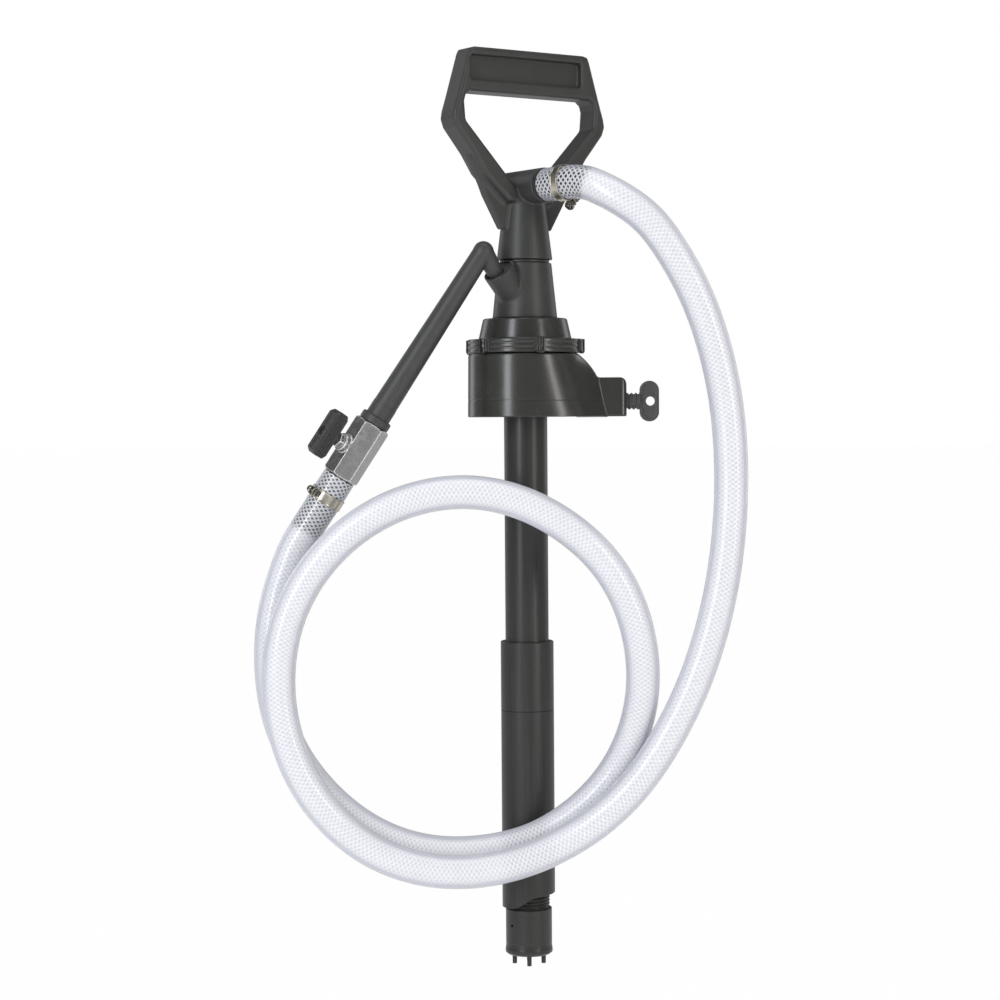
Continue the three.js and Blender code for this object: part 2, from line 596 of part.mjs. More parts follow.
// ---------------------------------------------------------------- ball valve
// Local Z runs up the pipe from the valve's lower end face, local X along the valve stem.
const VALVE_FLATS = 30, VALVE_LEN = 57, BALL_R = 11.2, VALVE_BORE_R = 8;
const VALVE_DIR = new THREE.Vector3(0.5436, 0, 0.8392).normalize();
const STEM_DIR = [-0.661, -0.616, 0.428];
const VALVE_MID = VALVE_LEN / 2;
const STEM_AXIS = times(move(0, 0, VALVE_MID), Z_TO_X);
const stemRod = (radius, low, high, segments) => rod(radius, low, high, segments, STEM_AXIS);

function valveBody() {
  return cut(
    join(hexagon(VALVE_FLATS, 0, VALVE_LEN, 1.2), stemRod(8.6, 10, 20.5, 24)),
    rod(12.7, -1, 12, 24),
    rod(VALVE_BORE_R + 0.2, 11, 17, 24),
    rod(12.9, 16, VALVE_LEN + 1, 24),
    stemRod(4.3, 8, 22, 16),
  );
}

// A seat from its outer end to the end by the ball, where its bore is wider.
const seatRing = (outerEnd, ballEnd) =>
  lathe([[8.3, outerEnd], [12.5, outerEnd], [12.5, ballEnd], [10.2, ballEnd]], 24);

const valveBall = () =>
  cut(sphere(BALL_R, 16, 10, move(0, 0, VALVE_MID)), rod(VALVE_BORE_R, 10, 50, 12));
const stemGlandNut = () =>
  cut(hexagon(13, 20.8, 26, 0.6, STEM_AXIS), stemRod(4.4, 20, 27, 16));
const valveStem = () => cut(stemRod(3.9, 11.6, 40, 16), stemRod(1.95, 33, 41, 12));
const leverScrew = () => join(stemRod(3.5, 43.5, 45.6, 14), stemRod(1.6, 34, 44, 12));

// A chamfered wing along the pipe on a round foot.
function valveLever() {
  const halfL = 22.5;
  const outline = [
    [28.9, -halfL + 4], [31.5, -halfL], [41, -halfL], [45, -halfL + 3.5],
    [45, halfL - 3.5], [41, halfL], [31.5, halfL], [28.9, halfL - 4],
  ];
  return cut(
    join(plate(outline, -6, 6, move(0, 0, VALVE_MID)), stemRod(6.6, 26.6, 30, 20)),
    stemRod(4.3, 26, 40.3, 16),
    stemRod(2.1, 40, 46, 12),
    stemRod(3.9, 43.2, 46, 14),
  );
}

// The barbed tail below the valve: [radius, z].
const LANCE_TAIL = [
  [6.8, 11.6], [12.2, 11.6], [12.2, -0.3], [13.6, -0.3], [13.6, -5.2], [8.9, -6],
  [9.6, -18], [8.9, -18.4], [9.6, -32], [8.9, -32.4], [9.6, -46], [8.9, -46.4],
  [8.2, -60], [6.8, -60],
];

const delivery = group(pump);
const valveFoot = VALVE_TOP.clone().addScaledVector(VALVE_DIR, -VALVE_LEN);
const valve = group(delivery, frame(valveFoot, VALVE_DIR, STEM_DIR));
node(delivery, "lance", lanceShape(), FINISH.satin);
node(valve, "valve_body", valveBody(), FINISH.nickel);
node(valve, "valve_seat_lower", seatRing(16.3, 21.4), FINISH.white);
node(valve, "valve_seat_upper", seatRing(40.7, 35.6), FINISH.white);
node(valve, "valve_end_cap", ring(8.3, 12.5, 41, 46, 24), FINISH.nickel);
node(valve, "valve_ball", valveBall(), FINISH.ball);
node(valve, "stem_gland_nut", stemGlandNut(), FINISH.nickel);
node(valve, "valve_stem", valveStem(), FINISH.nickel);
node(valve, "valve_lever", valveLever(), FINISH.satin);
node(valve, "lever_screw", leverScrew(), FINISH.steel);
node(valve, "lance_hose_tail", lathe(LANCE_TAIL, 16), FINISH.satin);
hoseClamp(valve, "lance_clamp", -22.6, 14);

// ---------------------------------------------------------------- hose
// Centreline [x, y, z], from the lance valve round the coil to the handle's outlet.
const HOSE_POINTS = [
  [-173.2, -36, -58.2], [-186.3, -36, -78.4], [-202.6, -36, -103.6], [-212.2, -37, -120],
  [-225.1, -40.2, -154.6], [-233, -41.9, -190.7], [-234.1, -42, -227.6], [-229.7, -42, -264.3],
  [-217.9, -42, -299.3], [-197.8, -42, -330.4], [-172.3, -42, -357.2], [-142.3, -42, -378.6],
  [-108.1, -42, -392.6], [-71.5, -42, -398], [-34.7, -42, -395.6], [1.5, -42, -387],
  [34.2, -42.5, -369.1], [62.5, -44.1, -344.4], [84.7, -47.6, -314.2], [98.4, -53.1, -279.7],
  [104.4, -59.3, -243.5], [102.2, -64.7, -206.9], [92.9, -69.1, -171.4], [76.1, -71.8, -138.6],
  [51.6, -72.8, -111], [21.8, -73, -89.2], [-11.7, -73, -73.6], [-47.9, -73, -66.4],
  [-84.8, -73, -68.4], [-120.2, -73, -78.8], [-152.5, -73, -96.9], [-180.3, -73, -121.2],
  [-202.3, -73, -150.9], [-217.4, -73, -184.6], [-224.2, -73, -220.9], [-224, -73, -257.9],
  [-216.2, -73, -294], [-201.8, -73, -328.1], [-180, -73, -358.4], [-151.9, -73, -383.4],
  [-118.4, -73, -400.7], [-81.3, -73, -409], [-43.5, -73, -408.7], [-6.4, -73, -400.4],
  [28.4, -73, -385.7], [60.5, -73, -365.7], [88.6, -73, -340.3], [111.8, -73, -310.6],
  [131, -73, -278.5], [147.3, -73, -244.9], [160.1, -73, -210], [169.9, -73, -174.2],
  [177, -73, -137.9], [181.3, -73.2, -101.1], [183.2, -73.7, -64.1], [182.5, -74, -27.1],
  [179.2, -74.2, 9.7], [172.5, -74.7, 46.1], [162.5, -75, 81.7], [148.8, -75, 116.1],
  [130.6, -74.8, 148.3], [109.1, -74.3, 178.3], [78.6, -70.8, 198.8], [60.5, -60.8, 209.4],
  [48, -54.6, 211.4], [36.5, -48.2, 211.2], [28.2, -41.3, 211], [22, -32.6, 211],
];
const hoseCurve = new THREE.CatmullRomCurve3(
  HOSE_POINTS.map((point) => new THREE.Vector3(...point)), false, "centripetal",
);
// The length comes from the default, coarser division; points along the curve from the finer one.
const hoseLength = hoseCurve.getLength();
hoseCurve.arcLengthDivisions = 2000;
hoseCurve.updateArcLengths();

// The stretch of the centreline between two arc lengths.
class Stretch extends THREE.Curve {
  constructor(start, end) {
    super();
    this.from = start / hoseLength;
    this.to = end / hoseLength;
  }
  getPoint(t, target = new THREE.Vector3()) {
    return hoseCurve.getPointAt(Math.min(1, this.from + (this.to - this.from) * t), target);
  }
}

function hosePiece(start, end, steps) {
  const shape = new THREE.Shape(circle(HOSE_R, 12));
  shape.holes.push(new THREE.Path(circle(HOSE_BORE_R, 10).reverse()));
  const extrudePath = new Stretch(start, end);
  return solid(new THREE.ExtrudeGeometry(shape, { steps, bevelEnabled: false, extrudePath }));
}

const CUT_LANCE = 130, CUT_OUTLET = hoseLength - 245; // arc lengths where the hose is parted
const CUT_HALF = 0.2; // half the gap at a cut
const OUTLET_STEPS = 17;
const outletStart = CUT_OUTLET + CUT_HALF;
node(delivery, "hose_lance_end", hosePiece(0.5, CUT_LANCE - CUT_HALF, 6), FINISH.hose);
node(
  barrel, "hose_run",
  hosePiece(CUT_LANCE + CUT_HALF, CUT_OUTLET - CUT_HALF, 46), FINISH.hose,
);
node(plunger, "hose_outlet_end", hosePiece(outletStart, hoseLength, OUTLET_STEPS), FINISH.hose);

// The outlet clamp sits square on the second straight step from the hose's end.
const outletStep = (hoseLength - outletStart) / OUTLET_STEPS;
const nearEnd = hoseCurve.getPointAt(1 - outletStep / hoseLength);
const farEnd = hoseCurve.getPointAt(1 - (2 * outletStep) / hoseLength);
const clampDir = farEnd.clone().sub(nearEnd);
const clampCentre = nearEnd.clone().add(farEnd).multiplyScalar(0.5);
const clampFrame = frame(clampCentre, clampDir, [-clampDir.y, clampDir.x, 0]);
hoseClamp(group(plunger, clampFrame), "outlet_clamp", 0, -48);

export default part;
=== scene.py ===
"""A hand drum pump: neck clamp, barrel with foot valve, plunger with handle, hose and lance.

The pieces are laid out in millimetres about the pump's upright axis, with z = 0 at the underside
of the neck clamp's skirt. The camera looks from -Y. The part's own frame, in metres, has its
origin on the drum neck seat, SEAT_R to the -X side of the axis and SEAT_Z up.
"""

import math

import bpy
import numpy as np
from mathutils import Matrix, Vector


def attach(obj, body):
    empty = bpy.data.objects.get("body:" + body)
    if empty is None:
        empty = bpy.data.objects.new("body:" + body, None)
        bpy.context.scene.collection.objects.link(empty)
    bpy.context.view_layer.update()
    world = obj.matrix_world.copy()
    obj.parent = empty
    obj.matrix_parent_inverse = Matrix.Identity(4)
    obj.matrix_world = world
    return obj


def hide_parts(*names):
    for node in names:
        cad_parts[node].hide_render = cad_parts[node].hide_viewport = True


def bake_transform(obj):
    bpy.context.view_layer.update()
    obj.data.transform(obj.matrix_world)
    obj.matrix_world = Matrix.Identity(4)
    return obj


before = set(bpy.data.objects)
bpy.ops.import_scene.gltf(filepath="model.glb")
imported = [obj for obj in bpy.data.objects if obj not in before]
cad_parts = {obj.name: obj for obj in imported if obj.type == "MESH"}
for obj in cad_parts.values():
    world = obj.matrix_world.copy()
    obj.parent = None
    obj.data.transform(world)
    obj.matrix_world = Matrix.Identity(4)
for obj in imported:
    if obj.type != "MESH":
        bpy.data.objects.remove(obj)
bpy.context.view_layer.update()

# ---------------------------------------------------------------- driving sizes, millimetres
SKIRT_R, SKIRT_HEIGHT, PLATE = 53.2, 58.0, 5.0
LUG_X, LUG_HEIGHT, LUG_HALF = 93.6, 36.0, 14.0
SCREW_Z = 13.9
SEAT_R, SEAT_Z = 40.0, SKIRT_HEIGHT - PLATE
CYLINDER_R, CYLINDER_BORE = 20.0, 17.4
CYLINDER_FOOT, CYLINDER_TOP = -474.0, 108.0
EXTENSION_R, EXTENSION_BORE = 24.5, 22.0
COLLET_R = CYLINDER_R + 0.35
ROD_R = 11.0
ROD_CLEAR_R = ROD_R + 0.35
HANDLE_YAW = math.radians(34.0)
HUB_Z = 211.0
VALVE_LENGTH = 57.0
HOSE_R, HOSE_BORE = 15.2, 10.5
FLOOR_Z = -735.0
OFFSET = np.array([SEAT_R, 0.0, -SEAT_Z])


def metres(point):
    """Pump millimetres to the part's own frame in metres."""
    return (np.asarray(point, float) + OFFSET) / 1000.0


# ---------------------------------------------------------------- local frames
def unit(vector):
    vector = np.asarray(vector, float)
    return vector / np.linalg.norm(vector)


class Place:
    """A local frame in the pump's frame: its Z is given, its X lies as near to hint as it can."""

    def __init__(self, origin=(0, 0, 0), z=(0, 0, 1), hint=(1, 0, 0)):
        self.origin = np.asarray(origin, float)
        z = unit(z)
        hint = np.asarray(hint, float)
        x = unit(hint - z * (hint @ z))
        self.axes = np.stack([x, np.cross(z, x), z])  # one axis a row

    def local(self, points):
        return (points - self.origin) @ self.axes.T

    def world(self, points):
        return np.asarray(points, float) @ self.axes + self.origin

    def turn(self, normals):
        return np.asarray(normals, float) @ self.axes


HOME = Place()
CUP = Place((-23.5, -25.5, 134.5), (-0.453, -0.423, 0.785), (0, 0, 1))  # holds the lance's tip
ACROSS = (math.cos(HANDLE_YAW), math.sin(HANDLE_YAW), 0)  # along the handle's grip
SPIGOT = Place((0, 0, HUB_Z), (math.sin(HANDLE_YAW), -math.cos(HANDLE_YAW), 0), ACROSS)
SCREW = Place((0, 0, SCREW_Z), (1, 0, 0), (0, 0, -1))
VALVE_DIR = unit((0.5436, 0, 0.8392))
VALVE_TOP = np.array((-139.0, -36.0, -5.4))
VALVE = Place(VALVE_TOP - VALVE_LENGTH * VALVE_DIR, VALVE_DIR, (-0.661, -0.616, 0.428))
# Z along the stem, X down the pipe
STEM = Place(VALVE.world([0, 0, VALVE_LENGTH / 2]), VALVE.axes[0], -VALVE_DIR)
BEND = np.array((-37.7, -36.0, 150.5))  # where the lance turns down to its tip
LANCE = Place(VALVE_TOP, BEND - VALVE_TOP, (0, -1, 0))
TIP = Place(BEND, -CUP.axes[2], (0, -1, 0))


# ---------------------------------------------------------------- outlines
# An outline is a closed list of (x, y) or (x, y, corner radius); a profile is the same with
# (radius, height). Corners without their own radius take the one given to the call.
def split_corners(rows, radius):
    points = [np.array(row[:2], float) for row in rows]
    return points, [row[2] if len(row) > 2 else radius for row in rows]


def fillet(before, corner, after, radius, straight):
    """Arc centre, radius, arc ends and corner angle. The centre is None where it stays sharp:
    without a radius, or within straight radians of a flat angle."""
    back, ahead = before - corner, after - corner
    back_length, ahead_length = np.linalg.norm(back), np.linalg.norm(ahead)
    back, ahead = back / back_length, ahead / ahead_length
    angle = math.acos(max(-1, min(1, float(back @ ahead))))
    if radius <= 0 or angle > math.pi - straight:
        return None, 0.0, (), angle
    trim = min(radius / math.tan(angle / 2), 0.48 * back_length, 0.48 * ahead_length)
    radius = trim * math.tan(angle / 2)
    centre = corner + unit(back + ahead) * (radius / math.sin(angle / 2))
    return centre, radius, (corner + back * trim, corner + ahead * trim), angle


def rounded(rows, radius, steps):
    """The outline's points, each rounded corner as steps + 1 of them."""
    points, radii = split_corners(rows, radius)
    result = []
    for i, corner in enumerate(points):
        after = points[(i + 1) % len(points)]
        centre, arc, ends, _ = fillet(points[i - 1], corner, after, radii[i], straight=0.02)
        if centre is None:
            result.append(corner)
            continue
        start, end = ends[0] - centre, ends[1] - centre
        first = math.atan2(start[1], start[0])
        sweep = math.remainder(math.atan2(end[1], end[0]) - first, 2 * math.pi)
        for k in range(steps + 1):
            angle = first + sweep * k / steps
            result.append(centre + arc * np.array([math.cos(angle), math.sin(angle)]))
    return np.array(result)


# ---------------------------------------------------------------- distance functions
# All distances are negative inside. A field takes an array of points and gives their distances.
def outline(rows, radius=0.0, steps=5):
    """Signed distance to an outline in its plane."""
    starts = np.asarray(rounded(rows, radius, steps), np.float32)
    ends = np.roll(starts, -1, 0)
    keep = np.hypot(*(ends - starts).T) > 1e-6
    starts, ends = starts[keep], ends[keep]

    def distance(x, y):
        x = x.astype(np.float32)
        y = y.astype(np.float32)
        nearest = np.full(x.shape, 1e12, np.float32)
        inside = np.zeros(x.shape, bool)
        for (ax, ay), (bx, by) in zip(starts, ends):
            edge_x, edge_y = bx - ax, by - ay
            from_x, from_y = x - ax, y - ay
            along = (from_x * edge_x + from_y * edge_y) / (edge_x * edge_x + edge_y * edge_y)
            along = np.clip(along, 0, 1)
            gap = (from_x - edge_x * along) ** 2 + (from_y - edge_y * along) ** 2
            np.minimum(nearest, gap, out=nearest)
            if edge_y != 0:
                inside ^= ((ay > y) != (by > y)) & (from_x < from_y * (edge_x / edge_y))
        nearest = np.sqrt(nearest)
        return np.where(inside, -nearest, nearest).astype(float)

    return distance


def radial(points):
    return np.hypot(points[:, 0], points[:, 1])


def revolved(profile, radius=0.0):
    """Field of a profile turned round local Z. Corners on the axis move far past it, so that
    the axis isn't taken for a surface."""
    rows = [(r if r > 1e-6 else -60.0, *rest) for r, *rest in profile]
    distance = outline(rows, radius, steps=4)
    return lambda points: distance(radial(points), points[:, 2])


def join(one, other, blend=0.0):
    """Union, with the seam blended over that width."""
    if blend <= 0:
        return np.minimum(one, other)
    overlap = np.maximum(blend - np.abs(one - other), 0) / blend
    return np.minimum(one, other) - overlap * overlap * blend * 0.25


def meet(one, other, blend=0.0):
    """Intersection."""
    return -join(-one, -other, blend)


def cut(shape, tool, blend=0.0):
    """The shape less the tool."""
    return meet(shape, -tool, blend)


def slab(flat, across, half, edge):
    """A plane distance given a thickness of 2 * half, its edges rounded."""
    side, face = flat + edge, np.abs(across) - half + edge
    outer = np.hypot(np.maximum(side, 0), np.maximum(face, 0))
    return np.minimum(np.maximum(side, face), 0) + outer - edge


def disc(from_axis, radius, along, half):
    """A sharp-edged disc, from the distance to its axis and the place along it."""
    return np.maximum(from_axis - radius, np.abs(along) - half)


def hexagon(x, y, flats):
    """A hexagon of that width across flats, one flat towards local X."""
    turns = [math.radians(60 * k) for k in range(3)]
    return np.maximum.reduce(
        [np.abs(x * math.cos(turn) + y * math.sin(turn)) - (flats / 2) for turn in turns])


def triangle_wave(x):
    """1 at whole numbers, 0 half way between."""
    return 2 * np.abs(x - np.floor(x) - 0.5)


def ease(t):
    return t * t * (3 - 2 * t)


def smoothed(values, kernel):
    padded = np.pad(values, len(kernel) // 2, "edge")
    return np.convolve(padded, kernel / kernel.sum(), "valid")


# ---------------------------------------------------------------- a surface from a field
BLOCK = 8  # grid points along a sampling block
BATCH = 400000  # grid points sampled at a time


def gradient(field, points, reach):
    slope = np.zeros_like(points)
    for k in range(3):
        shift = np.zeros(3)
        shift[k] = reach
        slope[:, k] = field(points + shift) - field(points - shift)
    return slope / (2 * reach)


def sample(field, low, high, step):
    """The field on a grid; only blocks near the surface are sampled finely."""
    blocks = np.maximum(1, np.ceil((high - low) / (step * BLOCK)).astype(int))
    block_ids = np.indices(blocks).reshape(3, -1).T
    middle = field(low + (block_ids * BLOCK + (BLOCK - 1) / 2) * step)
    near = np.abs(middle) < math.sqrt(3) * (BLOCK / 2 + 1) * step * 1.15
    grid = np.where(middle < 0, -1e3, 1e3).reshape(blocks)
    for axis in range(3):
        grid = np.repeat(grid, BLOCK, axis)
    grid = grid.astype(np.float32)
    offsets = np.indices((BLOCK,) * 3).reshape(3, -1).T
    chosen = block_ids[near]
    count = BATCH // len(offsets)
    for first in range(0, len(chosen), count):
        batch = chosen[first : first + count]
        spots = (batch[:, None, :] * BLOCK + offsets[None]).reshape(-1, 3)
        grid[tuple(spots.T)] = field(low + spots * step)
    grid[grid == 0] = 1e-6
    return grid


def cell_points(grid, cells):
    """One point in each cell, the mean of the crossings on its edges."""
    values = {corner: grid[tuple((cells + corner).T)] for corner in np.ndindex(2, 2, 2)}
    total, hits = np.zeros((len(cells), 3)), np.zeros(len(cells))
    for corner in values:
        for axis in range(3):
            if corner[axis]:
                continue
            other = list(corner)
            other[axis] = 1
            here, there = values[corner], values[tuple(other)]
            crossed = (here < 0) != (there < 0)
            share = np.where(crossed, here / np.where(crossed, here - there, 1), 0)
            point = np.tile(np.array(corner, float), (len(cells), 1))
            point[:, axis] += share
            total += point * crossed[:, None]
            hits += crossed
    return total / hits[:, None]


def cell_quads(inside, index):
    """A quad round every grid edge that the surface crosses."""
    size = inside.shape
    quads = []
    for axis in range(3):
        across, along = (axis + 1) % 3, (axis + 2) % 3
        edges = np.argwhere(np.diff(inside, axis=axis))
        for side in (across, along):
            edges = edges[(edges[:, side] > 0) & (edges[:, side] < size[side] - 1)]
        around = []
        for shift in ((-1, -1), (0, -1), (0, 0), (-1, 0)):
            cell = edges.copy()
            cell[:, [across, along]] += shift
            around.append(index[tuple(cell.T)])
        quad = np.stack(around, 1)
        flip = ~inside[tuple(edges.T)]
        quad[flip] = quad[flip][:, ::-1]
        quads.append(quad)
    quads = np.concatenate(quads)
    return quads[(quads >= 0).all(1)]


def skin(field, low, high, step):
    """The zero surface of the field as (points, quads, normals)."""
    low = np.asarray(low, float) - 1.5 * step
    high = np.asarray(high, float) + 1.5 * step
    grid = sample(field, low, high, step)
    inside = grid < 0
    size = grid.shape
    count = sum(
        inside[i : size[0] - 1 + i, j : size[1] - 1 + j, k : size[2] - 1 + k].astype(np.uint8)
        for i, j, k in np.ndindex(2, 2, 2)
    )
    cells = np.argwhere((count > 0) & (count < 8))
    index = np.full(count.shape, -1, np.int32)
    index[tuple(cells.T)] = np.arange(len(cells))
    points = low + (cells + cell_points(grid, cells)) * step
    for _ in range(2):  # draw the points onto the surface
        slope = gradient(field, points, 0.15 * step)
        steepness = np.maximum((slope * slope).sum(1), 0.25)
        move = -(field(points) / steepness)[:, None] * slope
        length = np.linalg.norm(move, axis=1, keepdims=True)
        points = points + move * np.minimum(1, 0.6 * step / np.maximum(length, 1e-9))
    normals = gradient(field, points, 0.3 * step)
    normals /= np.maximum(np.linalg.norm(normals, axis=1, keepdims=True), 1e-9)
    return points, cell_quads(inside, index), normals


# ---------------------------------------------------------------- making pieces
def put(name, cad, body, finish, points, faces, vertex_normals=None, loop_normals=None,
        uv=None, inner=None, blend=None):
    """Makes the mesh object that stands for the CAD piece and fastens it to its body; given
    blend, it bakes the transform in and fastens it to no body, and the blend's values are not
    used."""
    mesh = bpy.data.meshes.new(name)
    mesh.from_pydata(metres(points).tolist(), [], faces)
    mesh.polygons.foreach_set("use_smooth", np.ones(len(mesh.polygons), bool))
    if uv is not None:
        layer = mesh.uv_layers.new(name="UVMap")
        layer.data.foreach_set("uv", np.asarray(uv, np.float32).ravel())
    if inner is not None:
        attribute = mesh.attributes.new("inner", "FLOAT", "POINT")
        attribute.data.foreach_set("value", np.asarray(inner, np.float32))
    mesh.validate()
    mesh.update()
    if vertex_normals is not None:
        mesh.normals_split_custom_set_from_vertices(vertex_normals.tolist())
    elif loop_normals is not None:
        mesh.normals_split_custom_set(loop_normals.tolist())
    piece = bpy.data.objects.new(name, mesh)
    bpy.context.scene.collection.objects.link(piece)
    material, slot = FINISHES[finish]
    mesh.materials.append(material)
    if blend:
        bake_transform(piece)
    else:
        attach(piece, body)
    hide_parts(cad)
    return piece


def solid(cad, kind, body, finish, field, low, high, step, at=HOME):
    """A piece from its field, given in the local frame at, between two corners of a box."""
    points, quads, normals = skin(field, low, high, step)
    put(f"{cad}_{kind}", cad, body, finish, at.world(points), quads.tolist(),
        vertex_normals=at.turn(normals))


def edge_normal(start, end):
    x, y = (end - start) / np.linalg.norm(end - start)
    return np.array([y, -x])


def turned(cad, kind, body, finish, profile, at=HOME, edge=0.4, segments=96, steps=4):
    """A piece turned on a lathe from a closed profile, with exact normals."""
    corners, radii = split_corners(profile, edge)
    area = sum(a[0] * b[1] - b[0] * a[1] for a, b in zip(corners[-1:] + corners, corners))
    if area < 0:
        corners, radii = corners[::-1], radii[::-1]
    rings = []  # (radius and height, normal before, normal after)
    for i, corner in enumerate(corners):
        before, after = corners[i - 1], corners[(i + 1) % len(corners)]
        radius = radii[i]
        if corner[0] <= 1e-6 and (before[0] <= 1e-6 or after[0] <= 1e-6):
            radius = 0
        first, last = edge_normal(before, corner), edge_normal(corner, after)
        centre, radius, _, angle = fillet(before, corner, after, radius, straight=0.01)
        if centre is None:
            if angle > math.pi - 0.35:
                first = last = unit(first + last)
            rings.append((corner, first, last))
            continue
        outward = 1 if first[0] * last[1] - first[1] * last[0] > 0 else -1
        bend = math.pi - angle
        for k in range(steps + 1):
            share = k / steps
            normal = unit(first * math.sin((1 - share) * bend) + last * math.sin(share * bend))
            rings.append((centre + normal * radius * outward, normal, normal))
    places = np.array([ring[0] for ring in rings])
    places[:, 0] = np.maximum(places[:, 0], 0)
    on_axis = places[:, 0] < 1e-6
    theta = np.arange(segments) / segments * 2 * math.pi
    cosine, sine = np.cos(theta), np.sin(theta)
    radius, height = places[:, :1], np.repeat(places[:, 1:], segments, 1)
    points = np.stack([radius * cosine, radius * sine, height], 2).reshape(-1, 3)
    faces, normals = [], []
    for i in range(len(rings)):
        j = (i + 1) % len(rings)
        if on_axis[i] and on_axis[j]:
            continue
        here, there = rings[i][2], rings[j][1]
        for s in range(segments):
            t = (s + 1) % segments
            face = [(i, s, here), (i, t, here), (j, t, there), (j, s, there)]
            if on_axis[i]:
                del face[1]
            if on_axis[j]:
                del face[-1]
            faces.append([k * segments + (0 if on_axis[k] else spoke) for k, spoke, _ in face])
            normals += [(n[0] * cosine[k], n[0] * sine[k], n[1]) for _, k, n in face]
    used = np.unique(np.concatenate(faces))
    faces = [np.searchsorted(used, face).tolist() for face in faces]
    put(f"{cad}_{kind}", cad, body, finish, at.world(points[used]), faces,
        loop_normals=at.turn(np.array(normals)))


def band_faces(start, end, segments):
    """Quads from each start ring of points to its end ring."""
    start, end = np.reshape(start, (-1, 1)) * segments, np.reshape(end, (-1, 1)) * segments
    spoke = np.arange(segments)
    following = (spoke + 1) % segments
    quads = [start + spoke, start + following, end + following, end + spoke]
    return np.stack(quads, 2).reshape(-1, 4)


# ---------------------------------------------------------------- finishes
class Net:
    """The shader nodes of a material or a world."""

    def __init__(self, owner):
        owner.use_nodes = True
        self.owner = owner
        self.tree = owner.node_tree

    def node(self, kind, props=None, **inputs):
        """A node; inputs go by name, with _ for a space, or by number as i0, i1 and so on."""
        node = self.tree.nodes.new(kind)
        for key, value in (props or {}).items():
            setattr(node, key, value)
        for key, value in inputs.items():
            numbered = key[0] == "i" and key[1:].isdigit()
            self.set(node.inputs[int(key[1:]) if numbered else key.replace("_", " ")], value)
        return node

    def set(self, socket, value):
        if hasattr(value, "is_output"):
            self.tree.links.new(value, socket)
        elif hasattr(value, "outputs"):
            self.tree.links.new(value.outputs[0], socket)
        else:
            if socket.type == "RGBA" and len(value) == 3:
                value = (*value, 1)
            socket.default_value = value

    def math(self, operation, one, two=0.0, clamp=False):
        props = {"operation": operation, "use_clamp": clamp}
        return self.node("ShaderNodeMath", props, i0=one, i1=two, i2=0.0).outputs[0]

    def times(self, one, two):
        return self.math("MULTIPLY", one, two)

    def noise(self, coords, scale, detail=3.0, rough=0.5):
        return self.node("ShaderNodeTexNoise", Vector=coords, Scale=scale, Detail=detail,
                         Roughness=rough).outputs[0]

    def stretch(self, coords, factors):
        props = {"operation": "MULTIPLY"}
        return self.node("ShaderNodeVectorMath", props, i0=coords, i1=factors).outputs[0]

    def remap(self, value, span, to=(0.0, 1.0)):
        return self.node("ShaderNodeMapRange", {"clamp": True}, Value=value, From_Min=span[0],
                         From_Max=span[1], To_Min=to[0], To_Max=to[1]).outputs[0]

    def mix(self, factor, one, two):
        props = {"data_type": "RGBA"}
        return self.node("ShaderNodeMix", props, i0=factor, i6=one, i7=two).outputs[2]

    def coord(self, which="Object"):
        return self.node("ShaderNodeTexCoord").outputs[which]

    def bump(self, height, strength, depth, base=None):
        node = self.node("ShaderNodeBump", Height=height, Strength=strength, Distance=depth)
        if base is not None:
            self.set(node.inputs["Normal"], base)
        return node.outputs[0]

    def surface(self, **inputs):
        """Sets the principled shader's inputs and gives the material."""
        for key, value in inputs.items():
            self.set(self.tree.nodes["Principled BSDF"].inputs[key.replace("_", " ")], value)
        return self.owner

    def add_shader(self, factor, one, two):
        """Puts a mix of two shaders on the material's output."""
        mixed = self.node("ShaderNodeMixShader", i0=factor, i1=one, i2=two)
        self.set(self.tree.nodes["Material Output"].inputs["Surface"], mixed)


def new_net(name):
    return Net(bpy.data.materials.new(name))


def shade(colour, factor):
    return [channel * factor for channel in colour]


def scratches(net, coords, *webs):
    """Hairline marks, as noise drawn out one way. A web is (turn, noise scale, threshold)."""
    marks = []
    for turn, scale, threshold in webs:
        turned_coords = net.node("ShaderNodeVectorRotate", {"rotation_type": "EULER_XYZ"},
                                 Vector=coords, Rotation=turn).outputs[0]
        drawn = net.stretch(turned_coords, (1.0, 0.03, 0.03))
        lines = net.noise(drawn, scale=scale, detail=1.0, rough=0.4)
        marks.append(net.remap(lines, span=(threshold, threshold + 0.03)))
    return marks[0] if len(marks) == 1 else net.math("ADD", *marks, clamp=True)


def moulded(name, colour, rough, grain, ior, coat=0.0):
    """Moulded plastic: a cloudy tone with hairlines, dust and a fine grain."""
    net = new_net(name)
    coords = net.coord()
    cloud = net.noise(coords, scale=55.0, detail=4.0, rough=0.55)
    fine = net.noise(coords, scale=1900.0, detail=2.0, rough=0.6)
    hair = scratches(net, coords, ((0.3, 0.5, 0.2), 800.0, 0.735),
                     ((1.1, 0.2, 0.9), 1100.0, 0.74))
    dust = net.remap(net.noise(coords, scale=700.0, detail=5.0, rough=0.7), span=(0.66, 0.76))
    tone = net.remap(cloud, span=(0.25, 0.75))
    base = net.mix(tone, shade(colour, 0.93), shade(colour, 1.08))
    base = net.mix(net.times(hair, 0.012), base, (0.16, 0.16, 0.155))
    base = net.mix(net.times(dust, 0.10), base, (0.22, 0.215, 0.20))
    clouded = net.remap(cloud, span=(0.2, 0.8), to=(rough - 0.03, rough + 0.03))
    roughness = net.math("ADD", clouded, net.times(hair, 0.006))
    normal = net.bump(fine, strength=grain, depth=0.00018)
    swell = net.noise(coords, scale=95.0, detail=2.0, rough=0.5)
    normal = net.bump(swell, strength=0.05, depth=0.0012, base=normal)
    return net.surface(Base_Color=base, Roughness=roughness, Normal=normal, IOR=ior,
                       Coat_Weight=coat, Coat_Roughness=rough * 0.6)


